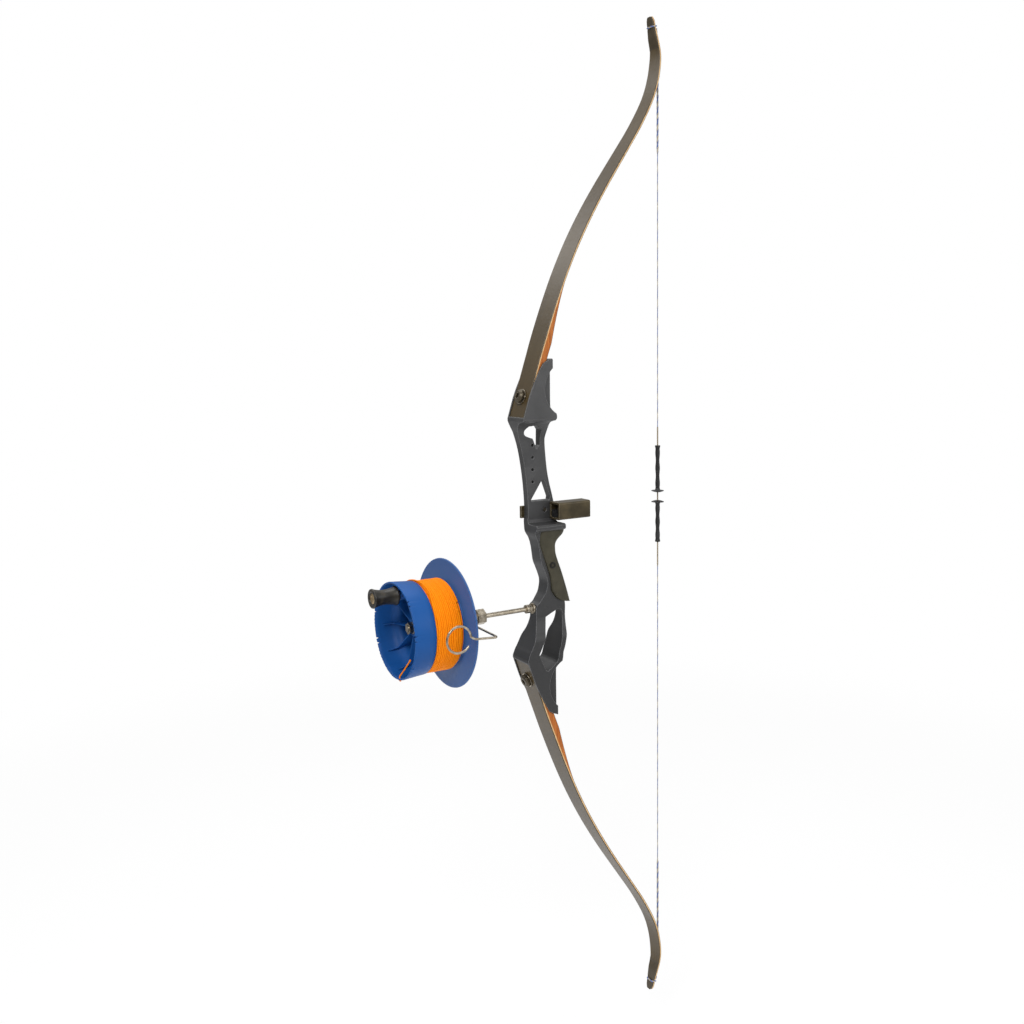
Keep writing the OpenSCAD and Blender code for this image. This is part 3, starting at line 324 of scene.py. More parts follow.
# The wound line is pressed wider, its free end is round again and is melted to a small bead.
count = np.arange(len(line_path))
wide = np.interp(count, len(winding) - lead + np.array([0, 40]), [1.30, 1.0])
melted = np.interp(count[::-1], [0, 1, 3, 5], [0.8, 1.35, 1.35, 1.0])
flat = np.stack([melted, wide * melted], -1)[:, None]
line = swept("orange_line", (line_path, circle(line_d / 2000, 10) * flat, np.array([-1.0, 0.35, 0.2])))
orange = Finish("orange_braid", (0.95, 0.19, 0.012), 0.62, specular=0.08)
lay = orange.lay()
length, turn = orange.part(lay, 0), orange.part(lay, 1)
braid, two_turns = 2400, 12.56
strands = (length * braid + turn * two_turns).sin() * (length * braid - turn * two_turns).sin()
orange.feed("Base Color", orange.mix(strands.ramp(-0.6, 0.9), (0.93, 0.21, 0.002), (1.0, 0.33, 0.003)))
orange.relief(strands, 0.0002, 0.35)
orange.on(line)
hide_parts("line_winding", "line_tail")
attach(line, "drum_body")
bulk = Finish("wound_bulk", (0.92, 0.22, 0.003), 0.7, specular=0.05)
layers = (bulk.part(bulk.place(), 0) * 2600).sin()
bulk.relief(layers, 0.0004, 0.8)
bulk.on(nodes["line_bulk"])


# ------------------------------------------------------------------ limbs
# Each limb is a ground stack: dark glass outside, a pale wood core and an
# orange-brown wedge that fades out past the riser, bent to a recurve in a press.

mid_z, butt, nock, past = 12.0, 160.5, 674.5, 13.0
tip = nock + past
pocket_top = butt + 74.5
stack, glass, core, wedge_full = 3.2, 0.7, 1.5, 8.0
wedge_even, wedge_fade = 98, 77
fade = butt + wedge_even + wedge_fade
butt_half, taper = 17.9, 12.1
cap_len, cap_t, tip_round = 42, 1.8, 7
back_glass = stack - glass - core
lean_at = np.array([0, 0.125, 0.22, 0.32, 0.42, 0.515, 0.61, 0.71, 0.8, 0.865, 0.915, 0.955, 1.03])
lean_deg = np.array([18.2, 19.2, 20.7, 23, 27.3, 31.6, 34.8, 34.6, 27.5, 13.4, 4, -11.3, -12.8])
string_x, twist_d, lift_gap = 178.0, 2.8, 0.8
lift = butt + 0.933 * (nock - butt)
butt_x = {1: 53.3, -1: 50.2}


def ease(x):
    """Smooth step from 0 to 1."""
    x = np.clip(x, 0, 1)
    return x * x * (3 - 2 * x)


def share(t):
    """Place along the limb, 0 at the butt and 1 at the nock."""
    return (t - butt) / (nock - butt)


def free_lean(side, t):
    """Lean from the vertical in degrees before the limb is fitted between its pocket and the string: the table,
    half a degree more near the lower tip, and the tiller."""
    trim = np.interp(share(t), [0.6, 0.7, 0.88, 0.93], [0, 0.5, 0.5, 0]) if side < 0 else 0
    return np.interp(share(t), lean_at, lean_deg) + trim - side * (np.cos(np.radians(193 * share(t))) - 0.12)


def bend(t):
    """Share of the extra bend reached at t: a smooth step over the half of the limb past its first tenth."""
    return ease((share(t) - 0.1) / 0.5)


def fitted_turn(side):
    """Degrees of extra bend that bring the butt to its place: what is missing in X over its change per degree,
    both summed over equal steps from the butt to where the string lifts off."""
    steps = 24
    d = (lift - butt) / steps
    m = butt + (np.arange(steps) + 0.5) * d
    tan = np.tan(np.radians(free_lean(side, m)))
    reach = string_x - twist_d / 2 - lift_gap - stack + butt_x[side]
    return (reach - tan.sum() * d) / (bend(m) * (1 + tan ** 2) * d * np.pi / 180).sum()


fit = {side: fitted_turn(side) for side in (1, -1)}


def limb_lean(side, t):
    """Lean of the limb from the vertical at height t over the mirror plane, in radians."""
    return np.radians(free_lean(side, t) + fit[side] * bend(t))


def limb_back(side, t):
    """X of the limb's back face: the lean summed from where the string lifts off."""
    grid = np.linspace(butt - 5, tip + 5, 1400)
    tan = np.tan(limb_lean(side, grid))
    run = np.concatenate([[0], np.cumsum((tan[1:] + tan[:-1]) / 2 * np.diff(grid))])
    return string_x - twist_d / 2 - lift_gap - stack + np.interp(t, grid, run) - np.interp(lift, grid, run)


def wedge_at(t):
    """Thickness of the wedge: even at first, then wedge_full * (what is left of the fade) ** 1.3."""
    return wedge_full * (1 - np.clip((t - butt - wedge_even) / wedge_fade, 0, 1)) ** 1.3


def half_width(t):
    """Half the limb's width: a little wider past the pocket, a slow taper, and a quick one before the nock."""
    v = share(t)
    return butt_half + 0.6 * ease((t - pocket_top) / 28) - taper * (
        0.15 * v + 0.54 * ease((v - 0.45) / 0.6) + 0.42 * ease((v - 0.9) / 0.14))


def limb_points(side, t, off, across):
    """World points on the limb: height t, depth off from the back face towards the belly, across in Y."""
    a = limb_lean(side, t)
    x = limb_back(side, t) + off * np.cos(a)
    z = mid_z + side * (t - off * np.sin(a))
    return np.stack(np.broadcast_arrays(x, across, z), -1) / 1000


def stack_layer(name, side, t, low, high, soft_low=0.0, soft_high=0.0):
    """A lamination from depth low to depth high along t, as wide as the limb there, less the rounding of the tip
    and the two string nocks. soft_low and soft_high break its edges at that depth. UV is the length along the
    limb and the place across it, in metres."""
    w = half_width(t)
    w = w * np.sqrt(1 - 0.75 * np.clip((t - tip + tip_round) / tip_round, 0, 1) ** 2)
    w = w - 1.7 * np.exp(-((t - nock) / 1.4) ** 2)
    corners = []
    for y_sign, far in [(-1, 0), (1, 0), (1, 1), (-1, 1)]:
        soft = soft_high if far else soft_low
        order = (1, 0) if (far == 0) == (y_sign < 0) else (0, 1)
        for down in order if soft else (0,):
            depth = low + (high - low) * far + soft * down * (1 - 2 * far)
            corners.append(limb_points(side, t, depth, y_sign * (w - soft * (1 - down))))
    p = np.stack(corners, 1)
    sides = p.shape[1]
    faces = ring_faces(len(t), sides)
    faces += [list(range(sides))[::-1], [(len(t) - 1) * sides + k for k in range(sides)]]
    uv = np.stack([np.repeat(t / 1000, sides), p[..., 1].ravel()], -1)
    return put_mesh(name, p.reshape(-1, 3), faces, uv, smooth=False)


fine = np.unique(np.concatenate([np.linspace(butt, nock - 12, 220), np.linspace(nock - 12, tip - tip_round, 40),
                                 tip - tip_round * (1 - np.sin(np.linspace(0, 1, 14) * np.pi / 2))]))
wedge_t = np.linspace(butt, fade - 1, 90)
near_tip = fine[fine > tip - cap_len]
rise = cap_t * ease((near_tip - tip + cap_len) / 17)
under = stack - glass
blend_t, blend_depth = np.array([255.0, 430.0]), 3.0
limb_parts = {}
for word, side in (("upper", 1), ("lower", -1)):
    zero, w = np.zeros_like(fine), wedge_at(fine)
    back = stack_layer(word + "_back_glass", side, fine, zero, zero + back_glass, soft_low=0.5)
    wood = stack_layer(word + "_core", side, fine, zero + back_glass, zero + under)
    wedge = stack_layer(word + "_wedge", side, wedge_t, under + 0 * wedge_t, under + wedge_at(wedge_t))
    belly = stack_layer(word + "_belly_glass", side, fine, zero + under + w, zero + stack + w, soft_high=0.4)
    cap = stack_layer(word + "_tip_cap", side, near_tip, -rise - 0.02, 0 * near_tip)
    limb_parts[word] = [back, wood, wedge, belly, cap]
    start, end = limb_points(side, blend_t, blend_depth, 0.0)
    for obj, gone, slot in ((back, ("butt_back", "blade_back"), "limb_glass_back"),
                            (wood, ("butt_core", "blade_core"), "limb_core"),
                            (wedge, ("butt_wedge",), "limb_wedge"),
                            (belly, ("butt_belly", "blade_belly"), "limb_glass_belly"),
                            (cap, ("tip_overlay",), "tip_overlay")):
        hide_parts(*[word + "_" + g for g in gone])
        if obj is cap:
            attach(obj, word + "_limb")
        else:
            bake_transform(obj)

smoked = Finish("smoked_glass", (0.060, 0.046, 0.024), 0.34, specular=0.38)
where = smoked.place()
fibres = smoked.noise(smoked.stretch(smoked.lay(), (9, 1500, 1)), 2.0, 3.0)
cloud = smoked.noise(where, 9.0, 2.0)
edge_on = smoked.part(smoked.add("ShaderNodeNewGeometry", out=1), 1).abs().ramp(0.75, 0.95)
face = smoked.mix((fibres * 0.7 + cloud * 0.3).ramp(0.3, 0.7), (0.040, 0.026, 0.009), (0.090, 0.061, 0.023))
smoked.feed("Base Color", smoked.mix(edge_on, face, (0.030, 0.020, 0.010)))
smoked.feed("Roughness", fibres * 0.16 + 0.26)
smoked.relief(fibres, 0.00015, 0.35)
dark = Finish("dark_glass", (0.016, 0.013, 0.010), 0.30, specular=0.4)
dark.relief(dark.noise(dark.stretch(dark.lay(), (6, 900, 1)), 3.0, 3.0), 0.0001, 0.3)
maple = Finish("maple_core", (0.80, 0.58, 0.33), 0.5, specular=0.25)
grain = maple.noise(maple.stretch(maple.place(), (60, 40, 1.5)), 14.0, 4.0)
maple.feed("Base Color", maple.mix(grain.ramp(0.3, 0.75), (0.80, 0.55, 0.28), (0.55, 0.31, 0.12)))
maple.relief(grain, 0.0001, 0.3)
padauk = Finish("orange_wedge", (0.46, 0.15, 0.04), 0.5, specular=0.25)
grain = padauk.noise(padauk.stretch(padauk.place(), (60, 40, 2.5)), 16.0, 4.0)
padauk.feed("Base Color", padauk.mix(grain.ramp(0.3, 0.75), (0.52, 0.165, 0.030), (0.30, 0.075, 0.012)))
tip_wood = Finish("tip_overlay_dark", (0.055, 0.046, 0.032), 0.36, specular=0.45)
grain = tip_wood.noise(tip_wood.place(), 160)
tip_wood.feed("Base Color", tip_wood.mix(grain, (0.038, 0.027, 0.013), (0.068, 0.050, 0.026)))
for back, wood, wedge, belly, cap in limb_parts.values():
    smoked.on(back)
    maple.on(wood)
    padauk.on(wedge)
    dark.on(belly)
    tip_wood.on(cap)


# ------------------------------------------------------------------ riser
# The riser is cast in light alloy and painted dark grey with a fine texture. Its edges are broken all round. A painted
# highlight turns the grey pale near every sharp edge, and painted shade darkens it towards the bottom.

paint = Finish("grey_riser_paint", (0.048, 0.048, 0.049), 0.46, specular=0.4)
where = paint.place()
mottle = paint.noise(where, 22.0, 3.0)
speck = paint.noise(where, 900.0, 2.0)
skin = paint.mix(mottle.ramp(0.3, 0.7), (0.044, 0.044, 0.045), (0.064, 0.064, 0.065))
# Painted shade: the grey darkens towards the bottom of the riser, from 0.14 m down to -0.16 m in height.
skin = paint.mix(paint.part(where, 2).ramp(-0.16, 0.14), (0.028, 0.028, 0.029), skin)
# Painted highlight: near every sharp edge the colour is mixed towards pale grey.
paint.feed("Base Color", paint.mix(paint.rim(0.0012) * 0.8, skin, (0.24, 0.24, 0.245)))
paint.feed("Roughness", speck * 0.14 + 0.36)
paint.relief(speck, 0.00018, 0.35, edge=0.0014)
paint.on(nodes["riser"])


# ------------------------------------------------------------------- grip
# The grip is a hard rubber moulding in dark olive that wraps the riser's
# spine, held by a black button-head screw on each side.

seam_x = np.array([-24.9, -27, -23.5, -18, -12.4, -10.5, -9, -2.8, 3.7, 14, 30])
seam_z = np.array([23.5, 8, -5, -20, -36.3, -47.1, -57.7, -66.7, -71.1, -74.5, -76])
row_z = np.array([23.5, 19.5, 15.5, 12, 8, 4, 0, -8, -20, -32, -44, -56, -66, -76])
back_x = np.array([17, 16.6, 14, 8.8, 3.4, 0.6, 0, 0.8, 5.6, 10.8, 15.3, 19.4, 22.6, 25.5])
wide_y = np.array([12.2, 12.3, 12.4, 12.7, 13, 13.3, 13.6, 14, 14.2, 14.1, 13.8, 13.4, 13.1, 12.8])
spine_z = np.array([24, 19, 12, 2, -10, -30, -52, -66, -76])
spine_back = np.array([11.2, 5, -4, -8, -5.5, 1, 8, 10, 13.2])
front_y, spine_y = 10.6, 9.05
grip_top, grip_len, grip_rows = 23.5, 98.9, 150
arc_x, around = -8, 61
lip_w, lip_in = 1.5, 0.7


def curve_at(z, at_z, value):
    """Smooth curve through value at the heights at_z, read off at z."""
    p = smooth_path(np.stack([value, 0 * value, at_z], -1), 0.3)
    order = np.argsort(p[:, 2])
    return np.interp(z, p[order, 2], p[order, 0])


z = grip_top - grip_len * (1 - (1 - np.linspace(0, 1, grip_rows)) ** 1.25)
seam, back, wide = curve_at(z, seam_z, seam_x), curve_at(z, row_z, back_x), curve_at(z, row_z, wide_y)
spine = curve_at(z, spine_z, spine_back) + 0.1
# Each row's outside is an arc behind arc_x and two flanks before it, cut off at the seam and thinned to a lip there.
a = np.linspace(-np.pi / 2, np.pi / 2, 41)
flank_x = np.linspace(-34, arc_x, 40, endpoint=False)
rows = []
for zi, xs, xb, w, sp in zip(z, seam, back, wide, spine):
    arc = np.stack([arc_x + (xb - arc_x) * np.cos(a), w * np.sin(a)], -1)
    flank = np.stack([flank_x, np.linspace(-front_y, -w, 40, endpoint=False)], -1)
    outer = np.vstack([flank, arc, flank[::-1] * [1, -1]])
    keep = run_of(outer)[np.where(outer[:, 0] >= xs)[0][[0, -1]]]
    even = keep[0] + (keep[1] - keep[0]) * np.linspace(0, 1, around)
    ring = at_run(outer, even)
    lip = np.minimum(1, np.abs(even - even[[0, -1]][:, None]).min(0) / lip_w)
    ring[:, 1] -= np.sign(ring[:, 1]) * lip_in * (1 - np.sqrt(1 - (1 - lip) ** 2)) * (np.abs(ring[:, 1]) > 9.8)
    inner = np.array([[xs, spine_y], [max(sp, xs), spine_y], [max(sp, xs), -spine_y], [xs, -spine_y]])
    inner[:, 0] = np.minimum(inner[:, 0], ring[around // 2, 0] - 0.3)
    rows.append(np.column_stack([np.vstack([ring, inner]), np.full(around + len(inner), zi)]))
rows = np.array(rows)
sides = rows.shape[1]
faces = ring_faces(grip_rows, sides) + [list(range(sides))[::-1], [(grip_rows - 1) * sides + k for k in range(sides)]]
grip = put_mesh("grip_shell", rows.reshape(-1, 3) / 1000, faces)
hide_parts("grip")
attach(grip, "riser")
olive = Finish("olive_grip_rubber", (0.050, 0.045, 0.030), 0.5, specular=0.35)
where = olive.place()
cast = olive.noise(where, 40.0, 3.0)
pebble = olive.noise(where, 1400.0, 2.0)
olive.feed("Base Color", olive.mix(cast.ramp(0.25, 0.75), (0.036, 0.032, 0.018), (0.062, 0.055, 0.033)))
olive.relief(pebble, 0.0002, 0.4)
olive.on(grip)
black = Finish("black_oxide_steel", (0.022, 0.021, 0.019), 0.38, metal=0.6)
black.feed("Roughness", black.noise(black.place(), 300.0, 2.0) * 0.2 + 0.28)
black.relief(black.noise(black.place(), 1200.0, 1.0), 0.0001, 0.3, edge=0.0006)
black.on(nodes["grip_screw_near"], nodes["grip_screw_far"])


# -------------------------------------------------------------- hardware
# Limb washers and pins, the reel's rod, nuts, collar and the bent guide wire
# are nickel-plated steel, a little yellowed. The limb bolts are browned steel.

nickel = Finish("worn_nickel", (0.40, 0.35, 0.28), 0.32, metal=1.0)
scuff = nickel.noise(nickel.place(), 260.0, 3.0)
nickel.feed("Base Color", nickel.mix(scuff.ramp(0.3, 0.7), (0.28, 0.24, 0.18), (0.46, 0.41, 0.33)))
nickel.feed("Roughness", scuff * 0.2 + 0.22)
nickel.relief(scuff, 0.0001, 0.3, edge=0.0005)
for name in ("upper_limb_washer", "lower_limb_washer", "upper_locating_pin", "lower_locating_pin", "rest_bolt",
             "stabiliser_bushing", "reel_rod", "rod_washer", "rod_nut", "coupler_nut", "drum_spindle", "drum_nut",
             "guide_collar", "wire_guide"):
    nickel.on(nodes[name])
browned = Finish("browned_steel", (0.075, 0.060, 0.038), 0.36, metal=0.5)
scuff = browned.noise(browned.place(), 300.0, 2.0)
skin = browned.mix(scuff, (0.050, 0.040, 0.024), (0.10, 0.080, 0.050))
# Painted highlight: near the bolts' sharp edges the colour turns pale.
browned.feed("Base Color", browned.mix(browned.rim(0.0008) * 0.7, skin, (0.36, 0.31, 0.23)))
browned.relief(scuff, 0.0001, 0.3, edge=0.0006)
browned.on(nodes["upper_limb_bolt"], nodes["lower_limb_bolt"])


# ------------------------------------------------------------------- drum
# The drum is one blue polyethylene moulding: a flange, a grooved core and an
# open cup with ten ribs from its hub, whose trimmed rim carries small notches.

def spun(r, h, closed=True):
    """Points and faces of the rings (r cos a, r sin a, h) at even angles a, one row of r and h to a ring. Closed,
    the last ring joins the first. Otherwise both are capped."""
    rings, columns = h.shape
    a = np.arange(columns) * 2 * np.pi / columns
    points = np.stack([r * np.cos(a), r * np.sin(a), h], -1).reshape(-1, 3)
    faces = ring_faces(rings, columns)
    last = (rings - 1) * columns
    if closed:
        faces += [[last + k, last + (k + 1) % columns, (k + 1) % columns, k] for k in range(columns)]
    else:
        faces += [list(range(columns))[::-1], [last + k for k in range(columns)]]
    return points, faces


def columned(profile, columns):
    """The (radius, along) profile as two arrays, each value repeated in every column."""
    return np.repeat(np.asarray(profile, float).T[:, :, None], columns, 2)


blue = Finish("blue_polyethylene", (0.016, 0.072, 0.34), 0.42, specular=0.22)
where = blue.place()
flow = blue.noise(where, 16.0, 2.0)
forward = blue.part(where, 0) * -1000 - flange_x
body = blue.mix(flow.ramp(0.25, 0.75), (0.004, 0.068, 0.26), (0.009, 0.088, 0.32))
# Painted highlight: the flange, up to 3 mm forward of its outer face and fading out by 4.5 mm, is lighter and paler
# blue.
blue.feed("Base Color", blue.mix(forward.ramp(4.5, 3.0), body, (0.046, 0.115, 0.31)))
blue.feed("Roughness", blue.noise(where, 120.0, 2.0) * 0.15 + 0.36)
blue.relief(flow, 0.0006, 0.3, edge=0.0008)
cup_z, knob_r, knob_z = 73.0, 43.5, 68.8
bore, hub_r, hub_z, wall, lip_r = 4.1, 11.0, 47.8, 3.0, 57.6
# Round the rim: notches cut to a depth, the line's own twice as wide, and the fine waver of a trimmed edge.
phi = np.arange(720) * 2 * np.pi / 720
notches = np.radians([79, 112, 118, 154, 191, 196, 234, 270, 276, 312, 318])
off = np.abs((phi[:, None] - notches + np.pi) % (2 * np.pi) - np.pi) * rim_r
notch_w = np.where(np.isclose(notches, notch), 1.35, 0.7)
cut = 2.6 * np.clip(1.25 - (off / notch_w) ** 2, 0, 1).max(1)
chip = 0.16 * np.sin(phi * 47) * np.sin(phi * 29 + 1) + 0.12 * np.sin(phi * 83 + 2)
profile = [
    (bore, 0), (79.5, 0), (80.3, 0.15), (80.8, 0.7), (80.9, 1.3), (80.8, 2.0), (80.2, 2.45), (79.2, 2.6),
    (core_r + 4, 3.0), (core_r + 2.6, 3.8), (core_r + 2.4, groove_a), (core_r, groove_a + 0.1),
    (core_r, groove_b - 0.3), (core_r + 0.4, groove_b), (lip_r - 0.7, groove_b), (lip_r, groove_b + 0.6),
    (lip_r + 0.5, 52), (rim_r - 0.2, 71.6),
    (rim_r - 0.5, cup_z - 0.3), (rim_r - 1.2, cup_z), (rim_r - 2.2, cup_z - 0.1), (rim_r - 2.6, cup_z - 0.7),
    (rim_r - wall, 68), (56.0, 60), (54.8, 54), (53.6, 49.8), (51.6, 47), (49, 44.6), (47.4, 40.5), (46.8, 33),
    (46.4, 20), (46, 9), (44.5, 6.6), (41, 6), (hub_r + 1.5, 6), (hub_r + 0.4, 6.6), (hub_r, 8), (hub_r, hub_z - 1),
    (hub_r - 0.4, hub_z - 0.3), (hub_r - 1.2, hub_z), (bore, hub_z)]
r, h = columned(profile, len(phi))
parts = [spun(r, h - (h > 67) * (cut + chip))]
# A rib from the hub to the cup's wall: its top edge climbs as a bracket and is broken on both sides.
stations, rib_end = 24, 53.6
reach = np.linspace(0, 1, stations)
edge_r = hub_r - 1 + (rib_end - hub_r + 1) * reach
edge_z = np.where(edge_r < 47, hub_z - 1.5 + 4 * ((edge_r - 10) / 37), 50.3 + 16 * ((edge_r - 47) / 7.6).clip(0) ** 1.4)
foot_z = np.where(edge_r < 45.5, 5.0, np.minimum(edge_z - 0.4, 8 + 46 * ((edge_r - 45.5) / 8.2).clip(0) ** 0.55))
rib = np.array([[(er, -th, fz), (er, -th * 0.8, ez - 0.5), (er, -th * 0.35, ez), (er, th * 0.35, ez),
                 (er, th * 0.8, ez - 0.5), (er, th, fz)]
                for er, ez, fz, th in zip(edge_r, edge_z, foot_z, 1.25 - 0.45 * reach)])
sides = rib.shape[1]
rib_faces = [f[::-1] for f in ring_faces(stations, sides)]
rib_faces += [list(range(sides)), [stations * sides - 1 - k for k in range(sides)]]
x, y, z = rib.reshape(-1, 3).T
for a in np.radians(24 + 36 * np.arange(10)):
    parts.append((np.stack([x * np.cos(a) - y * np.sin(a), x * np.sin(a) + y * np.cos(a), z], -1), rib_faces))
# The boss that carries the knob.
points, faces = spun(*columned([(6.4, 5), (6.2, 65.4), (5.6, 66), (2.6, 66), (2.6, 5)], 32))
parts.append((points + [knob_r, 0, 0], faces))
points, faces = joined(parts)
reel = put_mesh("drum_moulding", to_world(points), faces)
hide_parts("drum")
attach(reel, "drum_body")
blue.on(reel)


# ------------------------------------------------------------------- knob
# The crank knob is a black turned handle with flared ends. It spins on a
# brass rivet whose broad head sits in a recess of its outer end.

def turned(name, profile, place, columns=64, closed=True):
    """A turned form: the (radius, along) profile in mm carried round its axis. place maps (x, y, along) in mm to
    metres. A closed profile is a ring with a bore, an open one starts and ends on the axis."""
    points, faces = spun(*columned(profile, columns), closed)
    run = run_of(np.asarray(profile, float)) / 1000
    uv = np.stack([np.repeat(run, columns), np.tile(np.arange(columns) / columns, len(run))], -1)
    return put_mesh(name, place(points), faces, uv)


def on_knob(p):
    """Places a turned form on the knob's axis, along running out from the cup."""
    return to_world(np.stack([p[..., 0] + knob_r, p[..., 1], p[..., 2] + knob_z], -1))


axis_r = 0.0001
waist = [(11.6 - 2.5 * math.sin(math.pi * v) ** 0.8, 2.6 + 27.6 * v) for v in np.linspace(0, 1, 25)]
profile = [(2.8, 0), (10.8, 0), (11.6, 0.4), (11.9, 1.2), (11.8, 2.0)] + waist + [
    (11.9, 31), (12, 31.8), (11.6, 32.7), (10.8, 33), (9.0, 33), (8.2, 32.8), (7.6, 32.2), (7.2, 30.6), (2.8, 30.6)]
handle = turned("crank_knob", profile, on_knob)
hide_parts("knob")
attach(handle, "knob_body")
knob_black = Finish("black_knob", (0.020, 0.017, 0.012), 0.34, specular=0.5)
scuff = knob_black.noise(knob_black.place(), 110.0, 4.0)
knob_black.feed("Base Color", knob_black.mix(scuff.ramp(0.45, 0.75), (0.014, 0.012, 0.009), (0.050, 0.040, 0.026)))
knob_black.feed("Roughness", scuff * 0.25 + 0.24)
knob_black.relief(scuff, 0.0001, 0.3)
knob_black.on(handle)
profile = [(axis_r, -58), (2.5, -58), (2.5, 31.0), (6.3, 31.0), (6.6, 31.3), (6.4, 31.9), (5.0, 32.4), (3.0, 32.6),
           (2.6, 32.2), (axis_r, 32.2)]
rivet = turned("knob_rivet", profile, on_knob, closed=False)
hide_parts("knob_spindle")
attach(rivet, "drum_body")
brass = Finish("brass_rivet", (0.36, 0.25, 0.13), 0.38, metal=0.8)
tarnish = brass.noise(brass.place(), 400.0, 3.0)
brass.feed("Base Color", brass.mix(tarnish.ramp(0.3, 0.7), (0.20, 0.13, 0.06), (0.48, 0.36, 0.20)))
brass.feed("Roughness", tarnish * 0.25 + 0.26)
brass.on(rivet)


# ------------------------------------------------------------- arrow rest
# The rest is a box of brown-olive anodised plate round the arrow's path,
# with a black moulded cradle inside, on a bar across the riser's far side.

bronze = Finish("brown_anodised_plate", (0.060, 0.046, 0.022), 0.34, metal=0.35)
wash = bronze.noise(bronze.place(), 60.0, 3.0)
skin = bronze.mix(wash.ramp(0.3, 0.7), (0.038, 0.028, 0.011), (0.080, 0.060, 0.027))
# Painted highlight: near the plate's sharp edges the colour turns pale.
bronze.feed("Base Color", bronze.mix(bronze.rim(0.0012) * 0.85, skin, (0.34, 0.29, 0.20)))
bronze.feed("Roughness", wash * 0.2 + 0.26)
bronze.relief(wash, 0.0002, 0.3, edge=0.0016)
bronze.on(nodes["rest_housing"], nodes["rest_bracket"])
rubber = Finish("black_rubber", (0.013, 0.013, 0.013), 0.55)
rubber.relief(rubber.noise(rubber.place(), 700.0, 2.0), 0.0002, 0.4, edge=0.0006)
rubber.on(nodes["rest_cradle"])


# -------------------------------------------------------------- bowstring
# The string is a two-ply twist of waxed polyester, one ply blue and one tan.
# It is thicker at the ends, where the loops' tails are laid in.

def plies(path, radius, pitch, sides=14):
    """Rings of a two-lobed section, radius * (0.72 + 0.28 |cos a|), that turns once in each pitch of the path."""
    run = run_of(path)
    pitch = np.broadcast_to(pitch, run.shape)
    twisted = np.concatenate([[0], np.cumsum(np.diff(run) / pitch[1:])]) * 2 * np.pi
    a = np.arange(sides) * 2 * np.pi / sides
    r = np.broadcast_to(radius, run.shape)[:, None] * (0.72 + 0.28 * np.abs(np.cos(a)))
    return np.stack([r * np.cos(a + twisted[:, None]), r * np.sin(a + twisted[:, None])], -1)


def straight(a, b, step=0.0008):
    """Points at even steps from a to b: a + (b - a) * share."""
    a, b = np.asarray(a, float), np.asarray(b, float)
    return a + (b - a) * np.linspace(0, 1, max(2, int(np.linalg.norm(b - a) / step)))[:, None]


nocking_z, serving_len, thin_r = 51.3, 11.4, 0.66
loop_r, neck_gap = 0.4 * twist_d, 0.7
nock_y = float(half_width(np.array([nock]))[0]) - 0.5
across = np.array([0.0, 1.0, 0.0])
twist = Finish("two_ply_twist", (0.05, 0.10, 0.30), 0.62)
turn = twist.part(twist.lay(), 1)
ply = (turn * (2 * math.pi) + math.pi / 2).sin()
hair = twist.noise(twist.stretch(twist.lay(), (900, 14, 1)), 3.0, 2.0)
blue_or_tan = twist.mix(ply.ramp(-0.25, 0.25), (0.50, 0.43, 0.31), (0.075, 0.14, 0.42))
twist.feed("Base Color", twist.mix(hair.ramp(0.45, 0.9) * 0.5, blue_or_tan, (0.44, 0.48, 0.60)))
twist.relief((twist.part(twist.lay(), 0) * 5200 + turn * two_turns).sin() + hair, 0.0002, 0.6)
for word, side, thick in (("upper", 1, 163), ("lower", -1, 179)):
    thick_z = mid_z + side * (nock - thick)
    z = mid_z + side * lift
    path = straight([string_x / 1000, 0, (nocking_z + side * serving_len / 2) / 1000], [string_x / 1000, 0, z / 1000])
    swell = ease((side * (path[:, 2] * 1000 - thick_z) + 3) / 6)
    radius, pitch = (thin_r + (twist_d / 2 - thin_r) * swell) / 1000, 0.026 - 0.011 * swell
    half = swept(word + "_bowstring", (path, plies(path, radius, pitch), across))
    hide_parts(word + "_string")
    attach(half, word + "_string_half")
    fork = stack + twist_d / 2 + neck_gap
    over_belly, over_back = stack + loop_r + 0.1, -cap_t - loop_r - 0.1
    mid, belly_pt, back_pt = limb_points(side, np.array([nock - 17, nock, nock]),
                                         np.array([fork, over_belly, over_back]), np.zeros(3))
    lift_pt = np.array([string_x / 1000, 0, z / 1000])
    stem = straight(lift_pt, mid + (mid - lift_pt) * 0.02)
    tubes = [(stem, plies(stem, twist_d / 2000, 0.014), across)]
    for k in (-1, 1):
        end = limb_points(side, np.array([nock - 2 * loop_r - 0.4]), stack + loop_r + neck_gap,
                          k * (nock_y - loop_r - 0.2))[0]
        spread = mid * 0.45 + end * 0.55 + [0, k * 0.0006, 0]
        leg = smooth_path([mid - (mid - lift_pt) * 0.08, mid, spread, end], 0.0008)
        tubes.append((leg, plies(leg, loop_r / 1000, 0.009, 10), across))
    neck = swept(word + "_string_end", *tubes)
    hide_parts(word + "_string_neck")
    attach(neck, word + "_neck")
    corners = [pt + [0, k * nock_y / 1000, 0]
               for pt, k in [(belly_pt, -1), (back_pt, -1), (back_pt, 1), (belly_pt, 1)]]
    bent = [corners[0]]
    for a, b, c in zip(corners, corners[1:], corners[2:]):
        p, q = (b + 0.002 * (e - b) / np.linalg.norm(e - b) for e in (a, c))
        bent += [(1 - v) ** 2 * p + 2 * v * (1 - v) * b + v * v * q for v in np.linspace(0, 1, 9)]
    bent = np.array(bent + [corners[3]])
    bent = at_run(bent, np.linspace(0, run_of(bent)[-1], 60))
    loop = swept(word + "_nock_loop", (bent, plies(bent, loop_r / 1000, 0.008, 12), np.array([0.1, 0.2, 1.0])))
    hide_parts(word + "_string_loop")
    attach(loop, word + "_limb")
    twist.on(half, neck, loop)


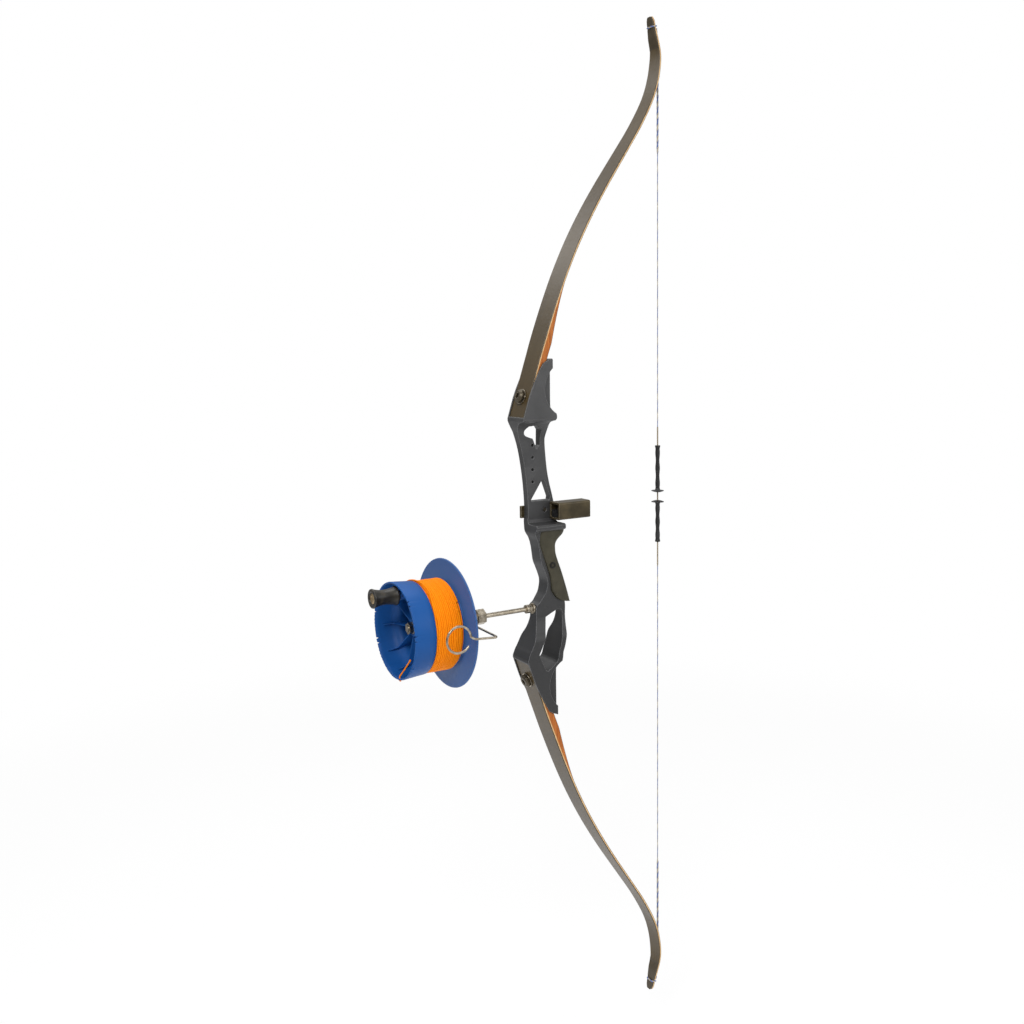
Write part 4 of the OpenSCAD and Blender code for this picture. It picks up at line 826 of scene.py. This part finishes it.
# --------------------------------------------- servings and finger savers
# Tan thread is wound tightly over the string round the nocking point, and on it
# sit two black rubber sleeves, each with a thin soft collar towards the arrow.

def on_string(side, z):
    """Places a form made along the string: along runs from height z towards that side's limb."""
    return lambda p: np.stack([string_x + p[:, 0], p[:, 1], z + side * p[:, 2]], -1) / 1000


thread = Finish("tan_serving_thread", (0.40, 0.33, 0.22), 0.68)
wound = (thread.part(thread.place(), 2) * 12500).sin()
worn = thread.noise(thread.place(), 260.0, 3.0)
# Painted shade: the colour is dark in the groove between turns and light on each turn's crest, mixed with worn patches.
groove_shade_and_wear = wound.ramp(-0.9, 0.6) * 0.7 + worn * 0.3
thread.feed("Base Color", thread.mix(groove_shade_and_wear, (0.20, 0.155, 0.095), (0.56, 0.46, 0.32)))
thread.relief(wound, 0.00025, 0.7)
soft = Finish("black_saver_rubber", (0.012, 0.012, 0.012), 0.5)
bloom = soft.noise(soft.place(), 90.0, 3.0)
soft.feed("Base Color", soft.mix(bloom.ramp(0.35, 0.8), (0.008, 0.008, 0.008), (0.022, 0.022, 0.023)))
soft.feed("Roughness", bloom * 0.2 + 0.38)
soft.relief(soft.noise(soft.place(), 900.0, 2.0), 0.0002, 0.35)
serve_r, serve_bore, sleeve_r, collar_r = 0.95, 0.68, 3.0, 8.8
for word, side, saver_len, past_saver in (("upper", 1, 65.9, 26), ("lower", -1, 59.1, 34)):
    z = nocking_z + side * serving_len / 2
    serve_len = saver_len + past_saver
    taper_off = [(serve_r - 0.2 * v ** 2, serve_len - 3 + 3 * v) for v in np.linspace(0, 1, 5)]
    profile = [(serve_bore, 0), (serve_r, 0)] + taper_off + [(serve_bore, serve_len)]
    serving = turned(word + "_served_thread", profile, on_string(side, z), 24)
    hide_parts(word + "_serving")
    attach(serving, word + "_string_half")
    thread.on(serving)
    collar = [(serve_r + 0.02, 0.25), (2.4, 0.1), (3.8, 0.2), (5.6, 0.75), (7.4, 1.35), (collar_r - 0.35, 1.75),
              (collar_r, 2.1), (collar_r - 0.15, 2.45), (7.6, 2.3), (5.8, 2.15), (4.4, 2.5), (3.7, 3.3), (3.3, 4.4),
              (3.0, 5.8)]
    body = [(sleeve_r - 0.1 + 0.32 * math.sin(v * 5 * math.pi), 7 + v * (saver_len - 12))
            for v in np.linspace(0, 1, 60)]
    lip = [(sleeve_r + fuller, saver_len - short)
           for fuller, short in [(0.15, 3.4), (0.45, 2), (0.7, 1), (0.55, 0.3), (0.1, 0)]]
    lip += [(1.6, saver_len), (serve_r + 0.02, saver_len - 0.4)]
    sleeve = turned(word + "_saver_sleeve", collar + body + lip, on_string(side, z))
    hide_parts(word + "_finger_saver")
    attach(sleeve, word + "_string_half")
    soft.on(sleeve)
profile = [(axis_r, 0), (serve_r - 0.1, 0), (serve_r, 0.3), (serve_r, serving_len - 0.4),
           (serve_r - 0.1, serving_len - 0.1), (axis_r, serving_len - 0.1)]
middle = turned("nocking_serving", profile, on_string(1, nocking_z - serving_len / 2 + 0.05), 24, closed=False)
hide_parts("centre_serving")
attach(middle, "nocking_point")
thread.on(middle)


# ----------------------------------------------------- floor, lamps, world
# A pale seamless studio sweep with large soft lamps, which the camera sees as plain white. Its colour is painted darker
# away from the bow, as painted shade where the lamps' light falls off.

ground_z, reach = -0.74, 6
floor = put_mesh("studio_floor", np.array([[x * reach, y * reach, ground_z] for x, y in
                                           [(-1, -1), (1, -1), (1, 1), (-1, 1)]]), [(0, 1, 2, 3)])
ground = Finish("pale_floor", (0.85, 0.85, 0.85), 0.9, specular=0.0)
where = ground.place()
away = ground.add("ShaderNodeVectorMath", {"operation": "LENGTH"}, {0: where}, out=1)
# Painted shade: the floor's grey falls from 0.85 within 1.1 m of the origin to 0.30 beyond 3.2 m.
ground.feed("Base Color", ground.mix(away.ramp(1.1, 3.2), (0.85, 0.85, 0.85), (0.30, 0.30, 0.30)))
shown = ground.add("ShaderNodeLightPath", out=0) * (away.ramp(0.9, 2.2) * 0.25 + 0.75)
white = ground.add("ShaderNodeEmission", None, {"Color": (1, 1, 1), "Strength": 1.0})
blend = ground.add("ShaderNodeMixShader", None, {0: shown, 2: white})
ground.tree.links.new(ground.shader.outputs[0], blend.socket.node.inputs[1])
ground.tree.links.new(blend.socket, ground.tree.nodes["Material Output"].inputs["Surface"])
ground.on(floor)


class Sky(Finish):
    """The world's nodes, with the same helpers as a material: dim near the horizon, bright above and below,
    and plain white where the camera sees it."""

    def __init__(self):
        self.world = bpy.data.worlds.new("studio")
        bpy.context.scene.world = self.world
        self.world.use_nodes = True
        self.tree = self.world.node_tree

    def light(self, grey):
        """Even light of that grey."""
        return self.add("ShaderNodeBackground", None, {"Color": (grey, grey, grey), "Strength": 1.0})


sky = Sky()
height = sky.part(sky.add("ShaderNodeTexCoord", out=0), 2).abs()
room = sky.add("ShaderNodeMixShader", None, {0: height.ramp(0.12, 0.62), 1: sky.light(0.34), 2: sky.light(0.80)})
seen = sky.add("ShaderNodeMixShader", None, {0: sky.add("ShaderNodeLightPath", out=0), 1: room, 2: sky.light(1.0)})
sky.tree.links.new(seen.socket, sky.tree.nodes["World Output"].inputs["Surface"])


def softbox(name, spot, aim, size, power):
    """A square area lamp at spot, turned to aim."""
    lamp = bpy.data.lights.new(name, "AREA")
    lamp.size, lamp.energy = size, power
    back = np.subtract(spot, aim) / np.linalg.norm(np.subtract(spot, aim))
    side = np.cross([0, 0, 1], back)
    side /= np.linalg.norm(side)
    stand(name, lamp, side, np.cross(back, side), back, spot)


softbox("key", (-2.0, -1.9, 2.1), (0, 0, 0), 1.4, 52)
softbox("fill", (1.8, -2.4, 0.8), (0, 0, 0), 1.8, 22)
softbox("top", (0.2, 0.6, 2.6), (0, 0, 0), 1.6, 22)
softbox("sheen", (-0.55, 1.78, 1.52), (0, 0, 0.35), 0.7, 4.0)
bpy.context.scene.view_settings.view_transform = "Standard"
